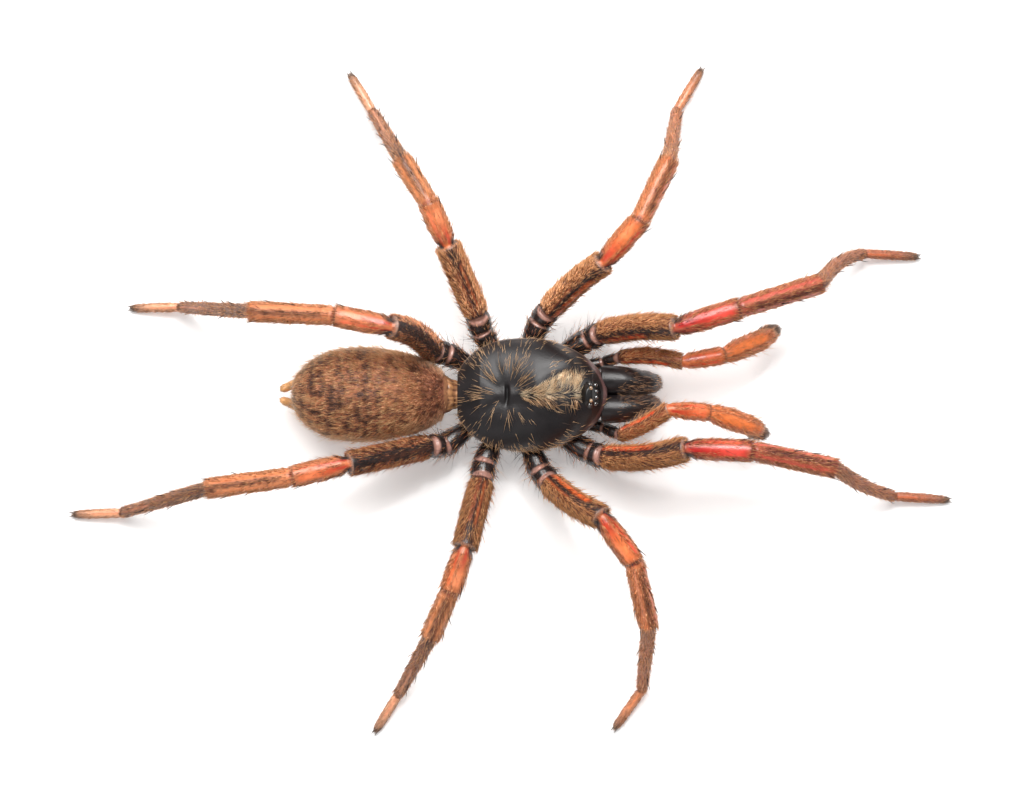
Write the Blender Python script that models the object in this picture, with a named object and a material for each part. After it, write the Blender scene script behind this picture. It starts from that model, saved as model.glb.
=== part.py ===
"""A trapdoor spider, an adult male, as a still life-size model standing on eight feet.

The spider faces +X, its left side is +Y and +Z is up. Lengths here are in millimetres, with x from
the middle of the leg span, y from the body's midline and z from the floor. They become metres where
a mesh is made. Every solid is a stack of rings: a leg is swept along its segments, and the body's
parts are sections along X. The origin ends up under the middle of the leg span, on the floor.
"""

import math

import bmesh
import bpy
from mathutils import Vector

MM = 0.001
UP = Vector((0, 0, 1))
FORWARD = Vector((1, 0, 0))

# Driving dimensions
CARAPACE_LENGTH = 9.0
CARAPACE_HALF_WIDTH = 3.4
ABDOMEN_HALF_WIDTH = 2.9
GAP = 0.3
LEG_SIDES = 10
BODY_SIDES = 16

# Leg segments in walking order from the body, with the half-width of each at its thickest
SEGMENTS = ("coxa", "trochanter", "femur", "patella", "tibia", "metatarsus", "tarsus")
LEG_HALF_WIDTH = {
    "coxa": 0.7,
    "trochanter": 0.72,
    "femur": 0.76,
    "patella": 0.69,
    "tibia": 0.63,
    "metatarsus": 0.43,
    "tarsus": 0.29,
}
LEG_HEIGHT_RATIO = {
    "coxa": 1.05,
    "trochanter": 1.05,
    "femur": 1.12,
    "patella": 1.0,
    "tibia": 1.0,
    "metatarsus": 1.0,
    "tarsus": 1.0,
}
# How a segment's width runs along it: share of its length, share of its full half-width
LEG_PROFILE = {
    "coxa": ((0.0, 0.5), (0.3, 0.68), (0.7, 0.93), (0.9, 1.0)),
    "trochanter": ((0.0, 0.86), (0.5, 1.0)),
    "femur": ((0.0, 0.84), (0.09, 0.93), (0.3, 1.0), (0.62, 1.0), (0.88, 0.98), (1.0, 0.88)),
    "patella": ((0.0, 0.76), (0.12, 0.9), (0.45, 1.0), (0.85, 0.98)),
    "tibia": ((0.0, 0.84), (0.1, 0.95), (0.45, 1.0), (0.85, 1.0), (0.96, 0.95), (1.0, 0.84)),
    "metatarsus": ((0.0, 1.1), (0.08, 1.06), (0.35, 1.0), (0.7, 0.88), (0.94, 0.8)),
    "tarsus": ((0.0, 0.98), (0.12, 1.04), (0.55, 1.0), (0.85, 0.92), (1.0, 0.78)),
}
# Real lengths of trochanter, femur, patella, tibia, metatarsus and tarsus, one row a leg pair
LEG_LENGTHS = {
    1: (0.91, 6.32, 3.98, 5.34, 6.2, 3.3),
    2: (0.95, 5.84, 3.37, 4.27, 6.15, 2.87),
    3: (1.08, 5.2, 2.82, 3.3, 5.52, 2.6),
    4: (0.92, 6.05, 3.45, 5.4, 7.05, 2.95),
}
# The pose. Each leg has its coxa's outer end (x, y), then the heading in degrees of every segment
# after the coxa, then the height of every joint after the coxa's end. Legs rise to the knee and
# come down to a flat tarsus.
COXA_END_HEIGHT = 2.6
FOOT_HEIGHT = 0.21
KNEE_POSE = {
    "l1": ((4.7, 3.3), (27, 4, 17, 17, 34, -3), (3.03, 7.5, 7.64, 6.03, 0.8)),
    "l2": ((1.8, 4.41), (51, 41, 49, 64, 80, 59), (3.1, 7.04, 7.5, 5.97, 0.72)),
    "l3": ((-1.74, 3.81), (103, 113, 114, 122, 121, 121), (3.13, 5.63, 6.2, 4.96, 0.72)),
    "l4": ((-3.78, 2.44), (168, 150, 169, 177, 176, 181), (2.97, 8.31, 8.0, 6.34, 0.78)),
    "r1": ((4.8, -3.51), (-16, 6, -2, -12, -25, -4), (3.0, 6.95, 6.9, 5.42, 0.71)),
    "r2": ((1.8, -4.59), (-51, -33, -54, -77, -95, -125), (2.94, 7.48, 7.02, 5.5, 0.78)),
    "r3": ((-1.56, -4.11), (-97, -104, -109, -113, -119, -122), (2.98, 6.15, 5.84, 4.46, 0.77)),
    "r4": ((-3.96, -3.09), (-180, -168, -167, -172, -164, -178), (3.05, 6.47, 6.64, 5.18, 0.73)),
}
# Inner end of each coxa beside the sternum, for the left side
COXA_ROOT = {1: (1.85, 1.7), 2: (0.75, 2.05), 3: (-0.65, 2.05), 4: (-1.88, 1.55)}
COXA_ROOT_HEIGHT = 2.15
FEMUR_BOW = 0.22
# How far a segment bows to the left of its heading at its middle
FEMUR_SIDE_BOW = {"l1": 0.2, "l2": 0.15, "l4": -0.3, "r1": -0.24, "r2": -0.18}
METATARSUS_SIDE_BOW = {"l1": 0.38, "r1": -0.22}

# Black spines on the outer leg segments: share along the segment, degrees round it from the top
SPINES = {
    "patella": ((0.8, 75),),
    "tibia": ((0.42, 62), (0.88, -58), (0.8, 150)),
    "metatarsus": ((0.2, 55), (0.45, -60), (0.72, 48), (0.9, -120)),
}
SPINE_LENGTH = 0.95
SPINE_RADIUS = 0.19
# A spine's root lies this deep in the leg and this far back, and its middle bends outward
SPINE_SINK = 0.24
SPINE_BACK = 0.1
SPINE_BEND = 0.06
SPINE_LEAN = 25
SPINE_LOWEST = 0.15
CLAW_LENGTH = 0.5
CLAW_RADIUS = 0.13
CLAW_SPREAD = 20
# A claw's root: back from the tarsus' end, to the side of it and above it
CLAW_BACK = 0.12
CLAW_ASIDE = 0.06
CLAW_TIP_HEIGHT = 0.06
CLAW_BEND = 0.08
# Where along a cone its bend is, and the share of its radius there
CONE_MIDDLE = 0.55
CONE_MIDDLE_SIZE = 0.62

# Pedipalps, built like short legs with a swollen tibia and a small folded tarsus
PALP_HALF_WIDTH = {"coxa": 0.44, "trochanter": 0.4, "femur": 0.5, "patella": 0.56, "tibia": 0.64}
PALP_PROFILE = {
    "coxa": ((0.0, 0.6), (0.35, 0.85), (0.75, 1.0), (0.95, 0.86)),
    "trochanter": ((0.0, 0.86), (0.5, 1.0)),
    "femur": ((0.0, 0.84), (0.12, 0.94), (0.4, 1.0), (0.75, 1.0), (0.93, 0.98), (1.0, 0.88)),
    "patella": ((0.0, 0.74), (0.14, 0.9), (0.5, 1.0), (0.88, 1.0)),
    "tibia": ((0.0, 0.82), (0.12, 0.94), (0.4, 1.05), (0.72, 0.95), (0.92, 0.72), (1.0, 0.5)),
}
PALP_ROOT = (2.55, 1.15)
PALP_ROOT_HEIGHT = 2.1
# Joints of each palp after its coxa's root
PALP_JOINTS = {
    "l": (
        (5.58, 1.92, 2.2),
        (6.54, 2.22, 2.75),
        (10.3, 1.95, 5.1),
        (12.88, 2.36, 4.65),
        (15.85, 3.6, 2.95),
    ),
    "r": (
        (5.6, -1.98, 2.2),
        (6.6, -2.44, 2.85),
        (9.44, -0.9, 6.1),
        (11.94, -1.08, 5.4),
        (15.12, -2.1, 3.9),
    ),
}
PALP_FEMUR_BOW = 0.4
PALP_SIDE_BOW = {"l": 0.22, "r": 0.12}
# The folded palp tarsus starts this far out and down from the tibia's end. Its stations are how far
# they lie back, out and down from there, and the half-width
PALP_TARSUS_OUT = 0.2
PALP_TARSUS_DROP = 0.95
PALP_TARSUS = ((-0.35, 0.0, 0.0, 0.28), (0.0, 0.0, 0.0, 0.42), (0.6, 0.12, 0.12, 0.46), (1.2, 0.2, 0.3, 0.3))
PALP_TARSUS_FLATNESS = 0.85
# Bulb: back and down of its root and of its tip, and its radius
BULB_ROOT = (0.45, 0.2)
BULB_TIP = (1.35, 1.15)
BULB_RADIUS = 0.36
BULB_BEND = 0.1

# Carapace: where it starts and ends along X, its rim height and the rise of its middle line
CARAPACE_REAR = -3.17
CARAPACE_FRONT = CARAPACE_REAR + CARAPACE_LENGTH
CARAPACE_WIDEST = 1.2
CARAPACE_RIM = 3.35
RIM_THICKNESS = 0.22
CARAPACE_RISE = (
    (-3.17, 0.32),
    (-1.8, 0.95),
    (-0.25, 1.28),
    (1.5, 1.72),
    (3.6, 2.05),
    (4.9, 1.8),
    (5.83, 0.7),
)
CAPUT = (1.0, 5.3)
CAPUT_HALF_WIDTH = 1.25
CAPUT_RISE = 0.2
FOVEA_X = -0.25
FOVEA_HALF_WIDTH = 1.0
FOVEA_HALF_LENGTH = 0.2
FOVEA_DEPTH = 0.4
# Where its sections are along X, and how many points an arch has
CARAPACE_SECTIONS = (
    (CARAPACE_REAR, -2.95, -2.5, -1.9, -1.2, -0.6)
    + (FOVEA_X - 0.05, FOVEA_X + 0.05, 0.15, 0.8, 1.6, 2.4, 3.2, 4.0)
    + (4.6, 5.1, 5.45, 5.68, CARAPACE_FRONT)
)
CARAPACE_ARCH_POINTS = 15

# Eye tubercle and the eight eyes on it: x, y and radius
TUBERCLE_CENTRE = (4.85, 0.0)
TUBERCLE_HALF = (0.62, 0.86)
TUBERCLE_RISE = 0.36
# The mound's rings: share of its half-size, share of its rise
TUBERCLE_RINGS = ((0.4, 0.0), (0.86, 0.0), (1.0, 0.25), (0.94, 0.6), (0.72, 0.85), (0.36, 1.0))
TUBERCLE_SIDES = 14
EYES = ((5.1, 0.55, 0.14), (4.76, 0.6, 0.12), (5.14, 0.18, 0.13), (4.83, 0.37, 0.11))

# Chelicerae: stations of (x, distance from the midline, z) and their half-widths and half-heights
CHELICERA_LINE = (
    (6.13, 0.93, 3.45),
    (6.7, 0.9, 3.42),
    (7.5, 0.83, 3.22),
    (8.2, 0.8, 2.9),
    (8.6, 0.77, 2.65),
    (8.86, 0.74, 2.5),
)
CHELICERA_HALF = ((0.77, 0.95), (0.74, 1.06), (0.67, 1.08), (0.63, 0.95), (0.52, 0.72), (0.32, 0.42))
CHELICERA_SIDES = 12
FANG_OFFSET = 0.82
FANG_LINE = ((8.4, 1.52), (8.1, 1.18), (7.45, 0.95), (6.7, 0.92), (6.1, 1.05))
FANG_RADIUS = (0.3, 0.3, 0.26, 0.17, 0.07)

# Underside: sternum plate with the body's core over it, labium and pedicel
STERNUM_CENTRE_X = 0.1
STERNUM_HALF = (2.35, 1.72)
STERNUM_LOW = 1.5
STERNUM_TOP = CARAPACE_RIM - GAP
# The sternum's rings: their level and share of its half-size
STERNUM_RINGS = ((STERNUM_LOW, 0.55), (1.62, 0.84), (1.9, 1.0), (2.5, 1.0), (STERNUM_TOP, 0.92))
# Labium: rear and front along X, half-width, and its lower and upper levels
LABIUM = (2.78, 3.5, 0.5, 1.6, 2.7)
LABIUM_PROFILE = ((0.0, 0.85), (0.25, 1.0), (0.7, 0.9), (1.0, 0.55))
# Pedicel: rear and front along X, radius and height
PEDICEL = (-3.45, -2.55, 0.55, 2.5)
PEDICEL_PROFILE = ((0.0, 1.0), (0.5, 0.85), (1.0, 1.0))
PEDICEL_WIDTH_RATIO = 1.25
PEDICEL_HEIGHT_RATIO = 0.8

# Abdomen: its ends along X, widest place and the height of its middle
ABDOMEN_REAR = -13.05
ABDOMEN_FRONT = -3.75
ABDOMEN_WIDEST = -8.85
ABDOMEN_FRONT_REACH = 5.45
ABDOMEN_HEIGHT = 3.4
ABDOMEN_HALF_HEIGHT = 2.5
# How far its middle sinks at the rear and lifts at the front
ABDOMEN_REAR_SINK = 0.35
ABDOMEN_FRONT_LIFT = 0.1
ABDOMEN_SECTIONS = (0.0, 0.02, 0.06, 0.13, 0.22, 0.34, 0.46, 0.58, 0.7, 0.8, 0.88, 0.94, 0.98, 1.0)

# Spinnerets, left one of each pair: inner end, outer end and radius
SPINNERETS = {
    "spinneret": ((-12.68, 0.74, 1.46), (-13.78, 0.34, 2.15), 0.27),
    "spinneret_small": ((-11.75, 0.4, 0.76), (-12.35, 0.4, 0.95), 0.22),
}
SPINNERET_PROFILE = ((0.0, 0.95), (0.35, 1.0), (0.75, 0.95), (1.0, 0.6))
SMALL_SIDES = 8


def clear_scene():
    for obj in list(bpy.data.objects):
        bpy.data.objects.remove(obj, do_unlink=True)


def material(name, colour, roughness):
    made = bpy.data.materials.new(name)
    made.use_nodes = True
    shader = made.node_tree.nodes["Principled BSDF"]
    shader.inputs["Base Color"].default_value = (*colour, 1.0)
    shader.inputs["Roughness"].default_value = roughness
    return made


def make_materials():
    return {
        "shell": material("shell", (0.02, 0.019, 0.02), 0.35),
        "leg_dark": material("leg_dark", (0.09, 0.045, 0.02), 0.5),
        "leg_orange": material("leg_orange", (0.5, 0.14, 0.035), 0.4),
        "leg_foot": material("leg_foot", (0.32, 0.14, 0.06), 0.5),
        "abdomen": material("abdomen", (0.25, 0.13, 0.05), 0.8),
        "pale": material("pale", (0.6, 0.4, 0.22), 0.5),
        "eye": material("eye", (0.03, 0.02, 0.012), 0.1),
    }


def between(table, x):
    """Reads a value from (place, value) pairs, in straight runs between them."""
    if x <= table[0][0]:
        return table[0][1]
    for (x0, v0), (x1, v1) in zip(table, table[1:]):
        if x <= x1:
            t = (x - x0) / (x1 - x0)
            return v0 + (v1 - v0) * t
    return table[-1][1]


def ease(low, high, x):
    """0 below low, 1 above high, and a smooth step between."""
    t = min(1.0, max(0.0, (x - low) / (high - low)))
    return t * t * (3 - 2 * t)


def ellipse(centre, across, upward, half_width, half_height, sides):
    """A ring of points round centre, counter-clockwise seen against across x upward."""
    ring = []
    for i in range(sides):
        turn = 2 * math.pi * (i + 0.5) / sides
        sideways = across * (half_width * math.cos(turn))
        ring.append(centre + sideways + upward * (half_height * math.sin(turn)))
    return ring


def rings_mesh(name, rings, floor=None):
    """One closed mesh through rings of equal count, capped at both ends."""
    shape = bmesh.new()
    rows = []
    for ring in rings:
        row = []
        for point in ring:
            height = point.z if floor is None else max(point.z, floor)
            row.append(shape.verts.new(Vector((point.x, point.y, height)) * MM))
        rows.append(row)
    count = len(rows[0])
    for low, high in zip(rows, rows[1:]):
        for i in range(count):
            j = (i + 1) % count
            shape.faces.new((low[i], low[j], high[j], high[i]))
    for row in (rows[0], rows[-1]):
        middle = Vector((0, 0, 0))
        for vert in row:
            middle += vert.co / count
        centre = shape.verts.new(middle)
        for i in range(count):
            shape.faces.new((row[i], row[(i + 1) % count], centre))
    bmesh.ops.recalc_face_normals(shape, faces=shape.faces)
    mesh = bpy.data.meshes.new(name)
    shape.to_mesh(mesh)
    shape.free()
    return mesh


def add_object(name, mesh, finish):
    obj = bpy.data.objects.new(name, mesh)
    bpy.context.scene.collection.objects.link(obj)
    mesh.materials.append(finish)
    mesh.shade_smooth()
    return obj


def frame_of(normal):
    """Level and upright directions of a ring that faces along normal."""
    across = UP.cross(normal).normalized()
    return across, normal.cross(across).normalized()


def sweep(name, stations, sides, finish, floor=None):
    """A solid through stations of (centre, normal, half-width, half-height)."""
    rings = []
    for centre, normal, half_width, half_height in stations:
        across, upward = frame_of(normal)
        rings.append(ellipse(centre, across, upward, half_width, half_height, sides))
    return add_object(name, rings_mesh(name, rings, floor), finish)


def left_of(direction):
    """The level direction to the left of a heading."""
    return UP.cross(direction).normalized()


def along(start, end, share, bow):
    """A point on a segment, moved by its bow in the middle."""
    return start.lerp(end, share) + bow * math.sin(math.pi * share)


def chain_stations(joints, names, half_widths, profiles, height_ratio, bows, before, after):
    """Stations of several segments in a row. before and after are the directions of the segments
    next to the chain, or None at a free end, and set the tilt of the end faces."""
    directions = [(b - a).normalized() for a, b in zip(joints, joints[1:])]
    stations = []
    for index, name in enumerate(names):
        start, end = joints[index], joints[index + 1]
        direction = directions[index]
        length = (end - start).length
        previous = directions[index - 1] if index else before
        following = directions[index + 1] if index + 1 < len(names) else after
        trim_start = 0.0
        trim_end = 0.0
        if index == 0 and before is not None:
            trim_start = GAP / 2 / length
        if index + 1 == len(names) and after is not None:
            trim_end = GAP / 2 / length
        for share, size in profiles[name]:
            placed = trim_start + share * (1 - trim_start - trim_end)
            normal = direction
            if share == 0.0 and previous is not None:
                normal = (direction + previous).normalized()
            if share == 1.0 and following is not None:
                normal = (direction + following).normalized()
            half_width = half_widths[name] * size
            stations.append(
                (
                    along(start, end, placed, bows.get(name, Vector((0, 0, 0)))),
                    normal,
                    half_width,
                    half_width * height_ratio.get(name, 1.0),
                )
            )
    return stations


def cone(name, root, tip, bend, radius, sides=4):
    """A tapered spine from root to tip that bends by a vector at its middle."""
    middle = root.lerp(tip, CONE_MIDDLE) + bend
    stations = []
    for centre, ahead, size in ((root, middle - root, 1.0), (middle, tip - root, CONE_MIDDLE_SIZE)):
        across, upward = frame_of(ahead.normalized())
        stations.append(ellipse(centre, across, upward, radius * size, radius * size, sides))
    shape = bmesh.new()
    rows = [[shape.verts.new(p * MM) for p in ring] for ring in stations]
    point = shape.verts.new(tip * MM)
    for i in range(sides):
        j = (i + 1) % sides
        shape.faces.new((rows[0][i], rows[0][j], rows[1][j], rows[1][i]))
        shape.faces.new((rows[1][i], rows[1][j], point))
    shape.faces.new(rows[0])
    bmesh.ops.recalc_face_normals(shape, faces=shape.faces)
    mesh = bpy.data.meshes.new(name)
    shape.to_mesh(mesh)
    shape.free()
    piece = bpy.data.objects.new(name, mesh)
    bpy.context.scene.collection.objects.link(piece)
    return piece


def largest_surface(mesh):
    """Keeps the closed surface with the most volume and drops the rest."""
    shape = bmesh.new()
    shape.from_mesh(mesh)
    left = set(shape.faces)
    groups = []
    while left:
        stack = [left.pop()]
        group = set(stack)
        while stack:
            for edge in stack.pop().edges:
                for face in edge.link_faces:
                    if face in left:
                        left.remove(face)
                        group.add(face)
                        stack.append(face)
        groups.append(group)

    def volume(group):
        total = 0.0
        for face in group:
            corners = [v.co for v in face.verts]
            for b, c in zip(corners[1:], corners[2:]):
                total += corners[0].dot(b.cross(c)) / 6
        return abs(total)

    keep = max(groups, key=volume)
    bmesh.ops.delete(shape, geom=[f for f in shape.faces if f not in keep], context="FACES")
    shape.to_mesh(mesh)
    shape.free()


def join(obj, pieces):
    """Unites obj with its pieces in one Boolean and applies it."""
    if not pieces:
        return
    group = bpy.data.collections.new(obj.name + "_pieces")
    bpy.context.scene.collection.children.link(group)
    for piece in pieces:
        group.objects.link(piece)
    union = obj.modifiers.new("union", "BOOLEAN")
    union.operation = "UNION"
    union.operand_type = "COLLECTION"
    union.collection = group
    union.solver = "EXACT"
    graph = bpy.context.evaluated_depsgraph_get()
    mesh = bpy.data.meshes.new_from_object(obj.evaluated_get(graph))
    obj.modifiers.clear()
    obj.data = mesh
    for piece in pieces:
        bpy.data.objects.remove(piece, do_unlink=True)
    bpy.data.collections.remove(group)
    largest_surface(obj.data)


def leg_joints(leg):
    """Joint points of a leg from the coxa's root to the tip of the tarsus."""
    number = int(leg[1])
    side = 1 if leg[0] == "l" else -1
    (x, y), headings, heights = KNEE_POSE[leg]
    root_x, root_y = COXA_ROOT[number]
    joints = [Vector((root_x, side * root_y, COXA_ROOT_HEIGHT)), Vector((x, y, COXA_END_HEIGHT))]
    for length, heading, height in zip(LEG_LENGTHS[number], headings, (*heights, FOOT_HEIGHT)):
        start = joints[-1]
        drop = height - start.z
        level = math.sqrt(length * length - drop * drop)
        turn = math.radians(heading)
        joints.append(Vector((start.x + level * math.cos(turn), start.y + level * math.sin(turn), height)))
    return joints


def spine_on(name, start, end, share, round_deg, half_width):
    """A spine that leans forward from a segment's surface, at degrees round it from the top."""
    direction = (end - start).normalized()
    across, upward = frame_of(direction)
    turn = math.radians(round_deg)
    outward = across * math.sin(turn) + upward * math.cos(turn)
    lean = math.radians(SPINE_LEAN)
    heading = direction * math.cos(lean) + outward * math.sin(lean)
    surface = start.lerp(end, share) + outward * half_width
    root = surface - outward * SPINE_SINK - direction * SPINE_BACK
    tip = surface + heading * SPINE_LENGTH
    tip.z = max(tip.z, SPINE_LOWEST)
    return cone(name, root, tip, outward * SPINE_BEND, SPINE_RADIUS)


def segment_spines(leg, names, joints):
    """The spines of the named segments, which start at joints[0]."""
    mirror = 1 if leg[0] == "l" else -1
    pieces = []
    for index, name in enumerate(names):
        start, end = joints[index], joints[index + 1]
        for share, degrees in SPINES.get(name, ()):
            label = name + "_spine"
            pieces.append(spine_on(label, start, end, share, mirror * degrees, LEG_HALF_WIDTH[name]))
    return pieces


def claws(joints):
    """Two claws past the end of the tarsus, spread to either side and bent to the floor."""
    direction = (joints[-1] - joints[-2]).normalized()
    level = Vector((direction.x, direction.y, 0)).normalized()
    pieces = []
    for side in (-1, 1):
        turn = math.radians(CLAW_SPREAD * side)
        ahead = level * math.cos(turn) + left_of(level) * math.sin(turn)
        root = joints[-1] - level * CLAW_BACK + left_of(ahead) * (CLAW_ASIDE * side) + UP * CLAW_ASIDE
        tip = joints[-1] + ahead * CLAW_LENGTH
        tip.z = CLAW_TIP_HEIGHT
        pieces.append(cone("claw", root, tip, UP * CLAW_BEND, CLAW_RADIUS))
    return pieces


def make_leg(leg, finishes):
    """A leg as three nodes: coxa to femur, patella with tibia, and metatarsus with tarsus."""
    joints = leg_joints(leg)
    directions = [(b - a).normalized() for a, b in zip(joints, joints[1:])]
    bows = {
        "femur": UP * FEMUR_BOW + left_of(directions[2]) * FEMUR_SIDE_BOW.get(leg, 0.0),
        "metatarsus": left_of(directions[5]) * METATARSUS_SIDE_BOW.get(leg, 0.0),
    }
    parts = (("femur", 0, 3, "leg_dark"), ("tibia", 3, 5, "leg_orange"), ("tarsus", 5, 7, "leg_foot"))
    for label, first, last, finish in parts:
        names = SEGMENTS[first:last]
        mine = joints[first : last + 1]
        before = directions[first - 1] if first else None
        after = directions[last] if last < len(SEGMENTS) else None
        stations = chain_stations(
            mine, names, LEG_HALF_WIDTH, LEG_PROFILE, LEG_HEIGHT_RATIO, bows, before, after
        )
        floor = 0.0 if label == "tarsus" else None
        obj = sweep(f"leg_{leg}_{label}", stations, LEG_SIDES, finishes[finish], floor)
        pieces = segment_spines(leg, names, mine)
        if label == "tarsus":
            pieces += claws(joints)
        join(obj, pieces)


def make_palp(side_name, finishes):
    """A pedipalp as three nodes: coxa to femur, patella with tibia, and the small tarsus."""
    side = 1 if side_name == "l" else -1
    joints = [Vector((PALP_ROOT[0], side * PALP_ROOT[1], PALP_ROOT_HEIGHT))]
    joints += [Vector(p) for p in PALP_JOINTS[side_name]]
    directions = [(b - a).normalized() for a, b in zip(joints, joints[1:])]
    bows = {"femur": Vector((0, side * PALP_SIDE_BOW[side_name], PALP_FEMUR_BOW))}
    for label, first, last, finish in (("femur", 0, 3, "leg_dark"), ("tibia", 3, 5, "leg_orange")):
        names = SEGMENTS[first:last]
        before = directions[first - 1] if first else None
        after = directions[last] if last < len(directions) else None
        stations = chain_stations(
            joints[first : last + 1], names, PALP_HALF_WIDTH, PALP_PROFILE, {}, bows, before, after
        )
        sweep(f"palp_{side_name}_{label}", stations, LEG_SIDES, finishes[finish])
    make_palp_tarsus(side_name, side, joints, finishes["leg_foot"])


def make_palp_tarsus(side_name, side, joints, finish):
    """The short tarsus, folded back under the end of the tibia, with the bulb below it."""
    tip = joints[-1]
    back = (joints[-2] - tip).normalized()
    outward = Vector((0, side, 0))
    start = tip + outward * PALP_TARSUS_OUT - UP * PALP_TARSUS_DROP
    normal = (back + UP * 0.1).normalized()
    stations = []
    for behind, out, down, size in PALP_TARSUS:
        centre = start + back * behind + outward * out - UP * down
        stations.append((centre, normal, size, size * PALP_TARSUS_FLATNESS))
    obj = sweep(f"palp_{side_name}_tarsus", stations, SMALL_SIDES, finish)
    root = start + back * BULB_ROOT[0] - UP * BULB_ROOT[1]
    point = start + back * BULB_TIP[0] - UP * BULB_TIP[1]
    bulb = cone("bulb", root, point, outward * BULB_BEND, BULB_RADIUS, 6)
    join(obj, [bulb])


def carapace_half_width(x):
    if x < CARAPACE_WIDEST:
        share = (CARAPACE_WIDEST - x) / (CARAPACE_WIDEST - CARAPACE_REAR + 0.25)
        return CARAPACE_HALF_WIDTH * (1 - share**2.6) ** 0.5
    share = (x - CARAPACE_WIDEST) / (CARAPACE_FRONT - CARAPACE_WIDEST + 0.05)
    return CARAPACE_HALF_WIDTH * (1 - share**1.7) ** 0.5


def carapace_top(x, y):
    """Height of the carapace's upper face: a dome with the raised caput and the fovea's pit."""
    half = carapace_half_width(x)
    across = min(1.0, abs(y) / half)
    dome = between(CARAPACE_RISE, x) * (1 - across**2.4) ** 0.6
    caput = ease(CAPUT[0] - 0.8, CAPUT[0] + 0.8, x) * (1 - ease(CAPUT[1] - 0.5, CAPUT[1] + 0.3, x))
    ridge = CAPUT_RISE * caput * math.exp(-((y / CAPUT_HALF_WIDTH) ** 4))
    pit = FOVEA_DEPTH * math.exp(-(((x - FOVEA_X) / FOVEA_HALF_LENGTH) ** 2))
    pit *= 1 - ease(0.6, 1.2, abs(y) / FOVEA_HALF_WIDTH)
    return CARAPACE_RIM + RIM_THICKNESS + dome + ridge - pit


def make_carapace(finish):
    """Sections across X: an arch on top and a flat underside at the rim."""
    rings = []
    for x in CARAPACE_SECTIONS:
        half = carapace_half_width(x)
        ring = []
        for i in range(CARAPACE_ARCH_POINTS):
            y = -half * math.cos(math.pi * i / (CARAPACE_ARCH_POINTS - 1))
            ring.append(Vector((x, y, carapace_top(x, y))))
        for share in (1.0, 0.5, 0.0, -0.5, -1.0):
            ring.append(Vector((x, half * share * 0.97, CARAPACE_RIM)))
        rings.append(ring)
    add_object("carapace", rings_mesh("carapace", rings), finish)


def make_eyes(finish):
    """A low mound just above the carapace with eight domes, four on each side."""
    cx, cy = TUBERCLE_CENTRE
    rings = []
    for spread, rise in TUBERCLE_RINGS:
        ring = []
        for i in range(TUBERCLE_SIDES):
            turn = 2 * math.pi * i / TUBERCLE_SIDES
            x = cx + TUBERCLE_HALF[0] * spread * math.cos(turn)
            y = cy + TUBERCLE_HALF[1] * spread * math.sin(turn)
            ring.append(Vector((x, y, carapace_top(x, y) + GAP + TUBERCLE_RISE * rise)))
        rings.append(ring)
    obj = add_object("eye_tubercle", rings_mesh("eye_tubercle", rings), finish)
    domes = []
    for x, y, radius in EYES:
        for side in (-1, 1):
            edge = math.hypot((x - cx) / TUBERCLE_HALF[0], (y - cy) / TUBERCLE_HALF[1])
            height = carapace_top(x, y) + GAP + TUBERCLE_RISE * (1 - ease(0.5, 1.15, edge))
            domes.append(dome_piece(Vector((x, side * y, height)), radius))
    join(obj, domes)


def dome_piece(centre, radius):
    """One eye: a small faceted ball."""
    shape = bmesh.new()
    bmesh.ops.create_icosphere(shape, subdivisions=1, radius=radius * MM)
    for vert in shape.verts:
        vert.co += centre * MM
    mesh = bpy.data.meshes.new("eye")
    shape.to_mesh(mesh)
    shape.free()
    piece = bpy.data.objects.new("eye", mesh)
    bpy.context.scene.collection.objects.link(piece)
    return piece


def turn_of_line(points):
    """Directions at each point of a line, from its neighbours."""
    ahead = []
    for i in range(len(points)):
        low = points[max(0, i - 1)]
        high = points[min(len(points) - 1, i + 1)]
        ahead.append((high - low).normalized())
    return ahead


def make_chelicerae(finishes):
    """Two stout front jaws with a fang folded back under each."""
    for side_name, side in (("l", 1), ("r", -1)):
        line = [Vector((x, side * offset, z)) for x, offset, z in CHELICERA_LINE]
        stations = []
        for centre, ahead, (half_width, half_height) in zip(line, turn_of_line(line), CHELICERA_HALF):
            stations.append((centre, ahead, half_width, half_height))
        sweep(f"chelicera_{side_name}", stations, CHELICERA_SIDES, finishes["shell"])
        fang = [Vector((x, side * FANG_OFFSET, z)) for x, z in FANG_LINE]
        stations = []
        for centre, ahead, radius in zip(fang, turn_of_line(fang), FANG_RADIUS):
            stations.append((centre, ahead, radius, radius))
        sweep(f"fang_{side_name}", stations, SMALL_SIDES, finishes["shell"])


def make_sternum(finish):
    """An oval plate, slightly keeled below, with the body's core on it up to the carapace."""
    rings = []
    for level, spread in STERNUM_RINGS:
        ring = []
        for i in range(BODY_SIDES):
            turn = 2 * math.pi * i / BODY_SIDES
            x = STERNUM_CENTRE_X + STERNUM_HALF[0] * spread * math.cos(turn)
            y = STERNUM_HALF[1] * spread * math.sin(turn)
            ring.append(Vector((x, y, level)))
        rings.append(ring)
    add_object("sternum", rings_mesh("sternum", rings), finish)


def make_labium(finish):
    """A small plate in front of the sternum, between the palps' coxae."""
    rear, front, half_width, low, high = LABIUM
    middle = (low + high) / 2
    stations = []
    for share, size in LABIUM_PROFILE:
        centre = Vector((rear + (front - rear) * share, 0, middle))
        stations.append((centre, FORWARD, half_width * size, (high - low) / 2 * size))
    sweep("labium", stations, LEG_SIDES, finish)


def make_pedicel(finish):
    """The narrow waist under the rear of the carapace."""
    rear, front, radius, height = PEDICEL
    stations = []
    for share, size in PEDICEL_PROFILE:
        centre = Vector((rear + (front - rear) * share, 0, height))
        half_width = radius * size * PEDICEL_WIDTH_RATIO
        stations.append((centre, FORWARD, half_width, radius * size * PEDICEL_HEIGHT_RATIO))
    sweep("pedicel", stations, LEG_SIDES, finish)


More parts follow.
